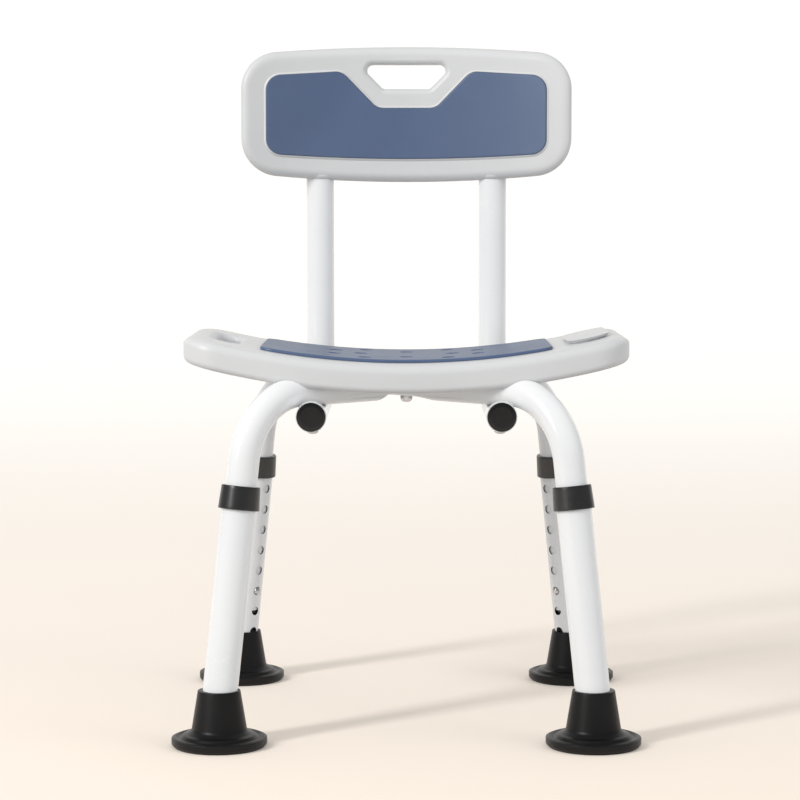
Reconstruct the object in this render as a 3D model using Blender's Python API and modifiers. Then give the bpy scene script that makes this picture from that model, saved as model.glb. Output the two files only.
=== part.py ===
"""Shower stool with a padded backrest: crossed leg tubes, telescopic legs and two back posts.

Units are metres. +Z is up, +X is to the right as seen from the front, and +Y is the back.
The origin is on the floor, under the middle of the four feet.
"""

import math

import bmesh
import bpy
from mathutils import Matrix, Vector

# ---- driving dimensions ---------------------------------------------------
FOOT_X = 0.186                # half of the spacing of the feet, across
FOOT_Y = 0.174                # half of the spacing of the feet, front to back
SEAT_TOP_Z = 0.3754           # height of the seat, at its middle
GAP = 0.0003                  # running gap between neighbouring pieces

LEG_SLOPE = 0.139             # outward lean of a leg, run over rise
LEG_CENTRE_Z = 0.045          # height at which a leg's axis stands over its foot's centre

TUBE_WALL = 0.0012
CROSS_RADIUS = 0.0158         # crossed tubes, outside
CROSS_BEND = 0.0770            # bend radius on the centreline
CROSS_FLAT = 0.024            # half length of the pressed flat at the crossing
CROSS_FADE = 0.020            # length over which the flat runs out
CROSS_FLAT_LOW = 0.0123       # underside of the pair at the crossing, below CROSS_Z
CROSS_FLAT_TOP = 0.0148       # top of the pair at the crossing, above CROSS_Z
CROSS_FLAT_SPREAD = 0.28      # how much wider the pressed tube gets
CROSS_END_BELOW_BUTTON = 0.0230

LEG_CLEAR = 0.0005            # between a crossed tube and the leg that slides on it
LEG_BELOW_BEND = 0.0270       # from the lower end of the bend to the top of the leg
LEG_BOTTOM_Z = 0.0146
HOLE_COUNT = 8
HOLE_PITCH = 0.02347
HOLE_RADIUS = 0.0047
FIRST_HOLE_DOWN = 0.0330      # from the top of the leg to its first hole
BUTTON_IN_HOLE = 6            # the hole, counted from the top, that the button stands in

COLLAR_LIP = 0.0027           # the lip that lies on the leg's upper end
COLLAR_HEIGHT = 0.0236
COLLAR_WALL_TOP = 0.0019
COLLAR_WALL_BOTTOM = 0.0032
COLLAR_EDGE = 0.0009

BUTTON_CLEAR = 0.0004         # between the button and its hole
BUTTON_LAP = 0.0009           # how much wider than the hole the button's flange is
BUTTON_PROUD = 0.0027         # how far the button stands out of the leg
BUTTON_FLANGE_THICK = 0.0014
CLIP_WIDTH = 0.008
CLIP_THICK = 0.0007
CLIP_LENGTH = 0.034
CLIP_NECK = 0.009             # from the clip's top to where its two arms run straight
CLIP_TAPER = 0.003            # how far the front arm leans in towards the top
CLIP_BELOW_BUTTON = 0.007
GLIDE_WALL = 0.0022
GLIDE_IN = 0.0042             # how far the glide stands inside the tube's end
GLIDE_HEAD = 0.0027

FOOT_RADIUS = 0.0475
FOOT_TREAD_RADIUS = 0.0450
FOOT_TREAD_CHAMFER = 0.0025
FOOT_FLANGE = 0.0090
FOOT_HEIGHT = 0.0560
FOOT_WALL = 0.0037            # at the rim, round the leg
FOOT_CONE = 0.0060            # how much wider the cone is at its neck than at its rim
FOOT_NECK_Z = 0.0205
FOOT_FLARE = 0.0035
FOOT_RING = 0.0090            # from the flange's edge in to the middle of the raised ring
FOOT_RING_RISE = 0.0022
FOOT_EDGE = 0.0010
WASHER_THICK = 0.0020
WASHER_CLEAR = 0.0006

SEAT_HALF_X = 0.2275
SEAT_HALF_Y = 0.1210
SEAT_BULGE = 0.0065           # how far the front and back edges bow out
SEAT_CORNER = 0.0380
SEAT_THICK = 0.0290
SEAT_CURVE = 0.866            # radius of the dished top, across
SEAT_EDGE = 0.0070
SEAT_OVER_TUBE = 0.0116       # seat left above the crossed tubes, at the middle
SLOT_FROM_END = 0.0400        # from the seat's end to the middle of the hand slot
SLOT_HALF_WIDTH = 0.0125
SLOT_HALF_LENGTH = 0.0540

SEAT_PAD_HALF_X = 0.1500
SEAT_PAD_HALF_Y = 0.0880
SEAT_PAD_BULGE = 0.0070
SEAT_PAD_CORNER = 0.0150
SEAT_PAD_THICK = 0.0030
PAD_EDGE_SHARE = 0.2          # chamfer of a pad's edge, as a share of its thickness
DRAIN_RADIUS = 0.0070
DRAIN_SPOTS = ((0.0, 0.040), (0.043, 0.060), (0.048, 0.0), (0.075, 0.026))

BACK_RADIUS = 0.01535         # back tubes, outside
BACK_FROM_BEND = 0.0148      # from a crossing to where the crossed tube starts to bend
BACK_PRESS = 0.00795          # how deep a back tube is pressed in under a crossed tube
BACK_FLAT = 0.025             # half length of that flat
BACK_FADE = 0.010
BACK_END = 0.0459             # from the front crossing to the tube's front end
BACK_RUN = 0.0032             # level run between the rear flat and the bend
BACK_BEND = 0.046
BACK_IN_PANEL = 0.0155        # top of the posts, above the middle of the backrest
PLUG_STEP = 0.00075           # how much smaller the end plug is than the tube
PLUG_HEAD = 0.0028
PLUG_STEM = 0.0100
PLUG_STEM_EDGE = 0.0010
PLUG_EDGE = 0.0008

PANEL_HALF_X = 0.1805
PANEL_HALF_Z = 0.0743
PANEL_ABOVE_SEAT = 0.2585     # the middle of the backrest, above the seat
PANEL_BULGE = 0.0065
PANEL_CORNER = 0.0410
PANEL_THICK = 0.0240
PANEL_CURVE = 0.450           # radius of the dished front, across
PANEL_EDGE = 0.0075
PANEL_SKIN = 0.0044           # plastic left in front of a post
HOUSING_WALL = 0.00325        # round a post, at the back of the panel
HOUSING_OVER = 0.0060         # from the post's end to the top of its housing
HOUSING_EDGE = 0.0040
POST_CLEAR = 0.0006

HANDLE_TOP = 0.0521           # half width of the hand hole at its top
HANDLE_BOTTOM = 0.0257
HANDLE_BELOW_TOP = 0.0197     # from the panel's top to the hand hole
HANDLE_HEIGHT = 0.0265
HANDLE_CORNER = 0.0064

BACK_PAD_BORDER_X = 0.0275    # panel left uncovered round the pad
BACK_PAD_BORDER_LOW = 0.0257
BACK_PAD_BORDER_TOP = 0.0270
BACK_PAD_BULGE = 0.0055
BACK_PAD_CORNER = 0.0155
BACK_PAD_THICK = 0.0025
NOTCH_TOP = 0.0710            # half width of the notch under the hand hole
NOTCH_BOTTOM = 0.0322
NOTCH_BELOW_HANDLE = 0.0212
NOTCH_CORNER = 0.0165

SCREW_RADIUS = 0.0030
SCREW_HEAD_RADIUS = 0.0060
SCREW_HEAD = 0.0045
SCREW_WASHER_RADIUS = 0.0085
SCREW_WASHER = 0.0012
SCREW_END_GAP = 0.0016        # from the screw's end to the top of its insert
CENTRE_HEAD_RADIUS = 0.0064
CENTRE_HEAD = 0.0072
INSERT_WALL = 0.0020
INSERT_LENGTH = 0.0070
INSERT_ROOF = 0.0010
PANEL_SCREW_RADIUS = 0.0022
PANEL_SCREW_HEAD_RADIUS = 0.0048
PANEL_SCREW_HEAD = 0.0030
PANEL_SCREW_LENGTH = 0.0099
PANEL_SCREW_POINT = 0.0030
PANEL_SCREW_BELOW = 0.0295    # below the middle of the backrest

TUBE_SIDES = 16
TURN_STEPS = 16
SMALL_STEPS = 10
ROD_SIDES = 8
BORE_TWIST = 0.2              # keeps the corners of a bore off the edges of the tubes it crosses
SEAT_STRIP = 0.0400           # width of the straight strips that make the dished seat
PANEL_STRIP = 0.0330          # and the dished backrest
MERGE = 0.00001               # points this near are one point

# ---- sizes that follow from them ------------------------------------------
FOOT_REACH = math.hypot(FOOT_X, FOOT_Y)
OUT_X = FOOT_X / FOOT_REACH
OUT_Y = FOOT_Y / FOOT_REACH
LEAN = math.atan(LEG_SLOPE)
FACET = math.cos(math.pi / TUBE_SIDES)

CROSS_Z = SEAT_TOP_Z - SEAT_OVER_TUBE - CROSS_RADIUS
CROSS_TURN = math.pi / 2 - LEAN
BEND_END_Z = CROSS_Z - CROSS_BEND * (1 - math.cos(CROSS_TURN))
BEND_END = FOOT_REACH - LEG_SLOPE * (BEND_END_Z - LEG_CENTRE_Z)
BEND_START = BEND_END - CROSS_BEND * math.sin(CROSS_TURN)
LEG_RADIUS = CROSS_RADIUS + LEG_CLEAR + TUBE_WALL
LEG_TOP_Z = BEND_END_Z - LEG_BELOW_BEND
COLLAR_TOP_Z = LEG_TOP_Z + (COLLAR_LIP + GAP) * math.cos(LEAN)
FIRST_HOLE_Z = LEG_TOP_Z - FIRST_HOLE_DOWN
BUTTON_Z = FIRST_HOLE_Z - (BUTTON_IN_HOLE - 1) * HOLE_PITCH * math.cos(LEAN)
BUTTON_RADIUS = HOLE_RADIUS - BUTTON_CLEAR
BUTTON_FLANGE = HOLE_RADIUS + BUTTON_LAP
INSERT_RADIUS = SCREW_RADIUS + INSERT_WALL
FOOT_RIM_RADIUS = LEG_RADIUS + FOOT_WALL
FOOT_NECK_RADIUS = FOOT_RIM_RADIUS + FOOT_CONE

CORNERS = {"front_left": (-1, -1), "front_right": (1, -1), "rear_left": (-1, 1), "rear_right": (1, 1)}
CROSSING_REACH = BEND_START - BACK_FROM_BEND
BACK_X = CROSSING_REACH * OUT_X
CROSSING_Y = CROSSING_REACH * OUT_Y
CROSSINGS = {name: (sx * BACK_X, sy * CROSSING_Y) for name, (sx, sy) in CORNERS.items()}
SEAT_CHANNEL_TOP = CROSS_Z + CROSS_RADIUS + GAP
SLOT_X = SEAT_HALF_X - SLOT_FROM_END

BACK_FLAT_Z = CROSS_Z - CROSS_RADIUS - GAP
BACK_Z = BACK_FLAT_Z + BACK_PRESS - BACK_RADIUS
BACK_FRONT_Y = -CROSSING_Y - BACK_END
BACK_POST_Y = CROSSING_Y + BACK_FLAT + BACK_RUN + BACK_BEND
PLUG_RADIUS = BACK_RADIUS - PLUG_STEP
POST_HOUSING = BACK_RADIUS + HOUSING_WALL

PANEL_MIDDLE_Z = SEAT_TOP_Z + PANEL_ABOVE_SEAT
BACK_TOP_Z = PANEL_MIDDLE_Z + BACK_IN_PANEL
PANEL_SCREW_Z = PANEL_MIDDLE_Z - PANEL_SCREW_BELOW
HANDLE_HIGH = PANEL_HALF_Z - HANDLE_BELOW_TOP
HANDLE_LOW = HANDLE_HIGH - HANDLE_HEIGHT
NOTCH_HIGH = HANDLE_LOW - NOTCH_BELOW_HANDLE
BACK_PAD_HALF_X = PANEL_HALF_X - BACK_PAD_BORDER_X
BACK_PAD_LOW = BACK_PAD_BORDER_LOW - PANEL_HALF_Z
BACK_PAD_HIGH = PANEL_HALF_Z - BACK_PAD_BORDER_TOP


def dish(x, curve, strip):
    """Rise of an arc of radius curve at a distance x from its middle, in straight strips."""
    low = math.floor(x / strip) * strip
    share = (x - low) / strip
    ends = [curve - math.sqrt(curve ** 2 - place ** 2) for place in (low, low + strip)]
    return ends[0] * (1 - share) + ends[1] * share


def seat_rise(x):
    """Height that the dished seat gains at a distance x from the middle."""
    return dish(x, SEAT_CURVE, SEAT_STRIP)


def panel_advance(x):
    """How far the dished backrest comes forward at a distance x from the middle."""
    return dish(x, PANEL_CURVE, PANEL_STRIP)


PANEL_FRONT_Y = BACK_POST_Y - BACK_RADIUS - POST_CLEAR - PANEL_SKIN + panel_advance(BACK_X)


# ---- scene and materials ----------------------------------------------------
for old in list(bpy.data.objects):
    bpy.data.objects.remove(old)

PARTS = bpy.data.collections.new("shower_stool")
CUTTERS = bpy.data.collections.new("cutters")
for group in (PARTS, CUTTERS):
    bpy.context.scene.collection.children.link(group)


def make_material(name, colour, roughness, metallic=0.0):
    material = bpy.data.materials.new(name)
    material.use_nodes = True
    shader = material.node_tree.nodes["Principled BSDF"]
    shader.inputs["Base Color"].default_value = (*colour, 1.0)
    shader.inputs["Roughness"].default_value = roughness
    shader.inputs["Metallic"].default_value = metallic
    return material


WHITE_PLASTIC = make_material("white_plastic", (0.70, 0.70, 0.70), 0.35)
WHITE_TUBE = make_material("white_coated_tube", (0.80, 0.81, 0.82), 0.22)
BLUE_FOAM = make_material("blue_foam", (0.14, 0.20, 0.34), 0.75)
BLACK_RUBBER = make_material("black_rubber", (0.012, 0.012, 0.014), 0.55)
BLACK_PLASTIC = make_material("black_plastic", (0.010, 0.010, 0.011), 0.35)
ZINC_STEEL = make_material("zinc_steel", (0.60, 0.61, 0.62), 0.30, 1.0)
BRASS = make_material("brass", (0.70, 0.52, 0.22), 0.35, 1.0)


# ---- shape helpers ----------------------------------------------------------
def add_object(name, mesh, material, cutter=False):
    """Put a mesh into the scene as a part, or as a hidden cutter."""
    made = bpy.data.objects.new(name, mesh)
    (CUTTERS if cutter else PARTS).objects.link(made)
    if cutter:
        made.hide_render = True
        made.display_type = "WIRE"
    else:
        made.data.materials.append(material)
        mesh.shade_smooth()
        mesh.set_sharp_from_angle(angle=math.radians(35))
    return made


def from_bmesh(name, shape, material, cutter=False):
    mesh = bpy.data.meshes.new(name)
    shape.to_mesh(mesh)
    shape.free()
    return add_object(name, mesh, material, cutter)


def curve_mesh(curve_data, name):
    """The mesh of a curve, with its caps welded on. The curve is removed."""
    holder = bpy.data.objects.new(name + "_curve", curve_data)
    PARTS.objects.link(holder)
    bpy.context.view_layer.update()
    graph = bpy.context.evaluated_depsgraph_get()
    mesh = bpy.data.meshes.new_from_object(holder.evaluated_get(graph))
    bpy.data.objects.remove(holder)
    bpy.data.curves.remove(curve_data)
    mesh.materials.clear()
    shape = bmesh.new()
    shape.from_mesh(mesh)
    bmesh.ops.remove_doubles(shape, verts=shape.verts, dist=MERGE)
    shape.to_mesh(mesh)
    shape.free()
    mesh.name = name
    return mesh


def pipe_mesh(name, points, radius, caps):
    """A round bar along points, open at its ends unless caps is true."""
    curve = bpy.data.curves.new(name, "CURVE")
    curve.dimensions = "3D"
    curve.bevel_depth = radius
    curve.bevel_resolution = TUBE_SIDES // 2 - 2
    curve.use_fill_caps = caps
    spline = curve.splines.new("POLY")
    spline.points.add(len(points) - 1)
    for point, place in zip(spline.points, points):
        point.co = (*place, 1.0)
    return curve_mesh(curve, name)


def split_faces(mesh):
    """Split warped four-sided faces the same way in a piece and in the cutter that clears it."""
    shape = bmesh.new()
    shape.from_mesh(mesh)
    bmesh.ops.triangulate(shape, faces=shape.faces, quad_method="FIXED")
    shape.to_mesh(mesh)
    shape.free()


def give_wall(made, wall):
    """Turn an open skin into a wall that lies inside it."""
    solid = made.modifiers.new("wall", "SOLIDIFY")
    solid.thickness = wall
    solid.offset = -1.0
    solid.use_even_offset = True


def cut(made, cutter, operation="DIFFERENCE"):
    change = made.modifiers.new(cutter.name, "BOOLEAN")
    change.operation = operation
    change.solver = "EXACT"
    change.object = cutter


def rods(name, ends, radius, sides=ROD_SIDES, twist=0.0):
    """Cutter: straight rods between pairs of points, in one object, each turned by twist on its own axis."""
    shape = bmesh.new()
    for low, high in ends:
        low = Vector(low)
        run = Vector(high) - low
        turn = run.to_track_quat("Z", "Y").to_matrix().to_4x4() @ Matrix.Rotation(twist, 4, "Z")
        bmesh.ops.create_cone(
            shape, cap_ends=True, segments=sides, radius1=radius, radius2=radius, depth=run.length,
            matrix=Matrix.Translation(low + run / 2) @ turn,
        )
    return from_bmesh(name, shape, None, cutter=True)


def turned(name, profile, material, place, steps=TURN_STEPS, closed=False, cutter=False):
    """Turn a profile of (radius, height) points about the local Z axis. It runs down the outer side."""
    mesh = bpy.data.meshes.new(name)
    count = len(profile)
    edges = [(i, i + 1) for i in range(count - 1)]
    if closed:
        edges.append((count - 1, 0))
    mesh.from_pydata([(r, 0.0, z) for r, z in profile], edges, [])
    made = add_object(name, mesh, material, cutter)
    made.matrix_world = place
    screw = made.modifiers.new("turn", "SCREW")
    screw.axis = "Z"
    screw.steps = steps
    screw.render_steps = steps
    screw.use_merge_vertices = True
    screw.merge_threshold = MERGE
    screw.use_smooth_shade = True
    return made


def bowed_outline(half_x, half_y, bulge, corner, corner_steps=5, edge_steps=3):
    """Rounded rectangle whose long edges bow out by bulge. Points run anticlockwise."""
    lean = 0.0
    for _ in range(8):
        reach = half_x - corner + corner * math.sin(lean)
        lean = math.atan(2 * bulge / reach)
    low = -(half_y - bulge) + corner * math.cos(lean)
    quarter = []
    for i in range(edge_steps):
        x = reach * i / edge_steps
        quarter.append((x, -(half_y - bulge * (x / reach) ** 2)))
    for i in range(corner_steps + 1):
        angle = -math.pi / 2 + lean + (math.pi / 2 - lean) * i / corner_steps
        quarter.append((half_x - corner + corner * math.cos(angle), low + corner * math.sin(angle)))
    right = quarter + [(x, -y) for x, y in reversed(quarter)]
    return right + [(-x, y) for x, y in reversed(right[1:-1])]


def round_corners(corners, steps=3):
    """Closed outline through corner points (x, y, radius), each replaced by an arc."""
    outline = []
    count = len(corners)
    for i, (x, y, radius) in enumerate(corners):
        here = Vector((x, y))
        before = (Vector(corners[i - 1][:2]) - here).normalized()
        after = (Vector(corners[(i + 1) % count][:2]) - here).normalized()
        half = before.angle(after) / 2
        centre = here + (before + after).normalized() * radius / math.sin(half)
        first = here + before * radius / math.tan(half) - centre
        last = here + after * radius / math.tan(half) - centre
        sweep = first.angle_signed(last)
        for step in range(steps + 1):
            turn = Matrix.Rotation(-sweep * step / steps, 2)
            outline.append(tuple(centre + turn @ first))
    return outline


def plate_mesh(name, outlines, thick, edge, strip, half_x):
    """Flat plate in XY from closed outlines, with rounded edges, cut into strips across X."""
    curve = bpy.data.curves.new(name, "CURVE")
    curve.dimensions = "2D"
    curve.fill_mode = "BOTH"
    curve.extrude = thick / 2 - edge
    curve.bevel_depth = edge
    curve.bevel_resolution = 0
    curve.offset = -edge
    for outline in outlines:
        spline = curve.splines.new("POLY")
        spline.points.add(len(outline) - 1)
        for point, (x, y) in zip(spline.points, outline):
            point.co = (x, y, 0.0, 1.0)
        spline.use_cyclic_u = True
    mesh = curve_mesh(curve, name)
    shape = bmesh.new()
    shape.from_mesh(mesh)
    bmesh.ops.dissolve_limit(shape, angle_limit=0.001, verts=shape.verts, edges=shape.edges)
    last = math.ceil(half_x / strip) - 1
    for i in range(-last, last + 1):
        x = i * strip
        geometry = shape.verts[:] + shape.edges[:] + shape.faces[:]
        bmesh.ops.bisect_plane(shape, geom=geometry, dist=0.00001, plane_co=(x, 0, 0), plane_no=(1, 0, 0))
    bmesh.ops.remove_doubles(shape, verts=shape.verts, dist=MERGE)
    shape.to_mesh(mesh)
    shape.free()
    return mesh


def lift(mesh, height):
    """Move each point up by height(x), and by the middle height."""
    for vertex in mesh.vertices:
        vertex.co.z += height(vertex.co.x)


def stand_up(mesh, middle_z, face_y, advance):
    """Stand a plate that was drawn in XY upright, and bring it forward by advance(x)."""
    for vertex in mesh.vertices:
        x, y, z = vertex.co
        vertex.co = (x, face_y - z - advance(x), middle_z + y)


# ---- the crossed tubes --------------------------------------------------------
def leg_place(sx, sy, height):
    """Matrix at a height on a leg's axis: Z up the leg, X square to it towards the stool's middle."""
    out = Vector((sx * OUT_X, sy * OUT_Y, 0.0))
    up = (Vector((0, 0, 1)) - LEG_SLOPE * out).normalized()
    inward = (-out * math.cos(LEAN) - Vector((0, 0, math.sin(LEAN)))).normalized()
    side = up.cross(inward)
    reach = FOOT_REACH - LEG_SLOPE * (height - LEG_CENTRE_Z)
    place = Matrix((inward, side, up)).transposed().to_4x4()
    place.translation = out * reach + Vector((0, 0, height))
    return place


def cross_side():
    """Half of a crossed tube's centreline as (reach, height), from the middle to its end in the leg."""
    fade_steps = 2
    run = [CROSS_FLAT + CROSS_FADE * i / fade_steps for i in range(fade_steps + 1)]
    points = [(r, CROSS_Z) for r in run]
    bend_steps = 5
    for i in range(bend_steps + 1):
        angle = CROSS_TURN * i / bend_steps
        points.append((BEND_START + CROSS_BEND * math.sin(angle), CROSS_Z - CROSS_BEND * (1 - math.cos(angle))))
    end_z = BUTTON_Z - CROSS_END_BELOW_BUTTON * math.cos(LEAN)
    points.append((FOOT_REACH - LEG_SLOPE * (end_z - LEG_CENTRE_Z), end_z))
    return points


def cross_tube_mesh(name, turn_x, above, grow, caps):
    """One crossed tube, pressed flat at the middle; above says that it lies over the other one."""
    out = Vector((turn_x * OUT_X, -OUT_Y, 0.0))
    side = Vector((OUT_Y, turn_x * OUT_X, 0.0))
    half = cross_side()
    line = [out * r + Vector((0, 0, z)) for r, z in reversed(half)]
    line += [Vector((0, 0, CROSS_Z))]
    line += [-out * r + Vector((0, 0, z)) for r, z in half]
    mesh = pipe_mesh(name, line, CROSS_RADIUS + grow, caps)
    radius = CROSS_RADIUS + grow
    low_middle = (GAP / 2 if above else -CROSS_FLAT_LOW) - grow
    top_middle = (CROSS_FLAT_TOP if above else -GAP / 2) + grow
    for vertex in mesh.vertices:
        along = abs(vertex.co.dot(out))
        press = min(1.0, max(0.0, (CROSS_FLAT + CROSS_FADE - along) / CROSS_FADE))
        if press == 0.0:
            continue
        press = press * press * (3 - 2 * press)
        low = -radius + press * (low_middle + radius)
        top = radius + press * (top_middle - radius)
        level = vertex.co.z - CROSS_Z
        across = vertex.co.dot(side)
        squeezed = low + (level + radius) * (top - low) / (2 * radius)
        limit = min(top, max(low, level))
        vertex.co.z = CROSS_Z + 0.5 * (squeezed + limit)
        vertex.co += side * across * CROSS_FLAT_SPREAD * press
    split_faces(mesh)
    return mesh


def button_rods():
    """Ends of the button holes' cutters, one on each leg, only through the wall that faces in."""
    ends = []
    for sx, sy in CORNERS.values():
        place = leg_place(sx, sy, BUTTON_Z)
        ends.append((place @ Vector((CROSS_RADIUS / 2, 0, 0)), place @ Vector((LEG_RADIUS * 1.6, 0, 0))))
    return ends


def make_cross_tubes():
    buttons = rods("button_hole_cutter", button_rods(), HOLE_RADIUS, twist=BORE_TWIST)
    bore_low, bore_top = BACK_Z - 2 * BACK_RADIUS, SEAT_CHANNEL_TOP + INSERT_LENGTH
    bores = [((x, y, bore_low), (x, y, bore_top)) for x, y in [*CROSSINGS.values(), (0, 0)]]
    bolt_bores = rods("bolt_bore_cutter", bores, SCREW_RADIUS + GAP, twist=BORE_TWIST)
    for name, turn_x, above in (("cross_tube_upper", -1, True), ("cross_tube_lower", 1, False)):
        tube = add_object(name, cross_tube_mesh(name, turn_x, above, 0.0, False), WHITE_TUBE)
        give_wall(tube, TUBE_WALL)
        cut(tube, buttons)
        cut(tube, bolt_bores)
    return bolt_bores


# ---- the back tubes -------------------------------------------------------------
def make_back_tubes(bolt_bores):
    panel_bores = rods(
        "panel_screw_bore_cutter",
        [((x, BACK_POST_Y, PANEL_SCREW_Z), (x, BACK_POST_Y + 3 * POST_HOUSING, PANEL_SCREW_Z))
         for x in (-BACK_X, BACK_X)],
        PANEL_SCREW_RADIUS + GAP,
    )
    for name, sx in (("left", -1), ("right", 1)):
        x = sx * BACK_X
        stops = []
        for middle in (-CROSSING_Y, CROSSING_Y):
            for shift in (-BACK_FLAT - BACK_FADE, -BACK_FLAT, 0.0, BACK_FLAT, BACK_FLAT + BACK_FADE):
                stops.append(middle + shift)
        bend_y = BACK_POST_Y - BACK_BEND
        points = [(x, BACK_FRONT_Y, BACK_Z)]
        points += [(x, y, BACK_Z) for y in stops if BACK_FRONT_Y + BACK_RUN / 2 < y < bend_y - BACK_RUN / 2]
        bend_steps = 5
        for i in range(bend_steps + 1):
            angle = math.pi / 2 * i / bend_steps
            points.append((x, bend_y + BACK_BEND * math.sin(angle), BACK_Z + BACK_BEND * (1 - math.cos(angle))))
        points.append((x, BACK_POST_Y, BACK_TOP_Z))
        mesh = pipe_mesh("back_tube_" + name, points, BACK_RADIUS, False)
        for vertex in mesh.vertices:
            away = abs(abs(vertex.co.y) - CROSSING_Y)
            press = min(1.0, max(0.0, (BACK_FLAT + BACK_FADE - away) / BACK_FADE))
            top = BACK_Z + BACK_RADIUS - press * BACK_PRESS
            if vertex.co.z < BACK_Z + BACK_RADIUS * 1.2 and abs(vertex.co.y) < BACK_POST_Y - BACK_BEND * 0.8:
                vertex.co.z = min(vertex.co.z, top)
        tube = add_object("back_tube_" + name, mesh, WHITE_TUBE)
        give_wall(tube, TUBE_WALL)
        cut(tube, bolt_bores)
        cut(tube, panel_bores)
        stem = BACK_RADIUS * FACET - TUBE_WALL - GAP
        head_low = -GAP - PLUG_HEAD
        place = Matrix.Translation((x, BACK_FRONT_Y, BACK_Z)) @ Matrix.Rotation(-math.pi / 2, 4, "X")
        turned("back_tube_plug_" + name, [
            (0.0, PLUG_STEM), (stem - PLUG_STEM_EDGE, PLUG_STEM), (stem, PLUG_STEM - PLUG_STEM_EDGE),
            (stem, -GAP), (PLUG_RADIUS, -GAP), (PLUG_RADIUS, head_low + PLUG_EDGE),
            (PLUG_RADIUS - PLUG_EDGE, head_low), (0.0, head_low),
        ], BLACK_PLASTIC, place, steps=TUBE_SIDES)
    return panel_bores


# ---- the legs ---------------------------------------------------------------------
def up_leg(height):
    """Distance along a leg's axis, from the button up to a height."""
    return (height - BUTTON_Z) / math.cos(LEAN)


def make_leg_tube(corner, on_axis):
    low, high = up_leg(LEG_BOTTOM_Z), up_leg(LEG_TOP_Z)
    name = "leg_tube_" + corner
    mesh = pipe_mesh(name, [(0, 0, low), (0, 0, high)], LEG_RADIUS, False)
    tube = on_axis(add_object(name, mesh, WHITE_TUBE))
    give_wall(tube, TUBE_WALL)
    spots = [up_leg(FIRST_HOLE_Z) - HOLE_PITCH * i for i in range(HOLE_COUNT)]
    ends = [((LEG_RADIUS / 2, 0, spot), (LEG_RADIUS * 1.5, 0, spot)) for spot in spots]
    cut(tube, on_axis(rods("leg_hole_cutter_" + corner, ends, HOLE_RADIUS, twist=BORE_TWIST)))


def make_collar(corner, on_axis):
    top = up_leg(COLLAR_TOP_Z)
    bottom = top - COLLAR_HEIGHT
    mouth, bore = CROSS_RADIUS + GAP, LEG_RADIUS + GAP
    wide_top, wide_bottom = LEG_RADIUS + COLLAR_WALL_TOP, LEG_RADIUS + COLLAR_WALL_BOTTOM
    on_axis(turned("leg_collar_" + corner, [
        (mouth, top), (wide_top - COLLAR_EDGE, top), (wide_top, top - COLLAR_EDGE),
        (wide_bottom, bottom), (bore, bottom), (bore, top - COLLAR_LIP), (mouth, top - COLLAR_LIP),
    ], BLACK_PLASTIC, Matrix.Identity(4), closed=True))


def make_glide(corner, on_axis):
    """Plastic ring in the lower end of a crossed tube, on which it slides in the leg."""
    outside = CROSS_RADIUS * FACET - TUBE_WALL * 1.02 - GAP
    inside = outside - GLIDE_WALL
    tube_end = -CROSS_END_BELOW_BUTTON
    on_axis(turned("tube_glide_" + corner, [
        (inside, tube_end + GLIDE_IN), (outside, tube_end + GLIDE_IN), (outside, tube_end - GAP),
        (CROSS_RADIUS, tube_end - GAP), (CROSS_RADIUS, tube_end - GAP - GLIDE_HEAD),
        (inside, tube_end - GAP - GLIDE_HEAD),
    ], BLACK_PLASTIC, Matrix.Identity(4), steps=TUBE_SIDES, closed=True))


def make_button(corner, on_axis):
    """Snap button, whose flange lies behind the tube's wall, and the spring clip that pushes it out."""
    wall_inside = (CROSS_RADIUS - TUBE_WALL * 1.02) * FACET
    flange_top = math.sqrt(wall_inside ** 2 - BUTTON_FLANGE ** 2) - GAP
    flange_low = flange_top - BUTTON_FLANGE_THICK
    tip = LEG_RADIUS + BUTTON_PROUD
    dome_steps = 4
    profile = []
    for i in range(dome_steps + 1):
        angle = math.pi / 2 * i / dome_steps
        profile.append((BUTTON_RADIUS * math.sin(angle), tip - BUTTON_PROUD * (1 - math.cos(angle))))
    profile += [(BUTTON_RADIUS, flange_top), (BUTTON_FLANGE, flange_top), (BUTTON_FLANGE, flange_low)]
    profile.append((0.0, flange_low))
    across = Matrix.Rotation(math.pi / 2, 4, "Y")
    on_axis(turned("snap_button_" + corner, profile, ZINC_STEEL, across, SMALL_STEPS))

    front = flange_low - GAP - CLIP_THICK
    back = -(wall_inside - GAP - 2 * CLIP_THICK)
    neck = CLIP_LENGTH - CLIP_NECK
    loop_x, loop_r = (front - CLIP_TAPER + back) / 2, (front - CLIP_TAPER - back) / 2
    arm = [(front, -CLIP_BELOW_BUTTON), (front, CLIP_NECK)]
    loop_steps = 6
    for i in range(loop_steps + 1):
        angle = math.pi * i / loop_steps
        arm.append((loop_x + loop_r * math.cos(angle), neck + loop_r * 0.7 * math.sin(angle)))
    arm.append((back, CLIP_BELOW_BUTTON / 2))
    count = len(arm)
    mesh = bpy.data.meshes.new("spring_clip_" + corner)
    sides = [(x, y, z) for y in (-CLIP_WIDTH / 2, CLIP_WIDTH / 2) for x, z in arm]
    mesh.from_pydata(sides, [], [(i, i + 1, count + i + 1, count + i) for i in range(count - 1)])
    give_wall(on_axis(add_object("spring_clip_" + corner, mesh, ZINC_STEEL)), CLIP_THICK)


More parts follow.
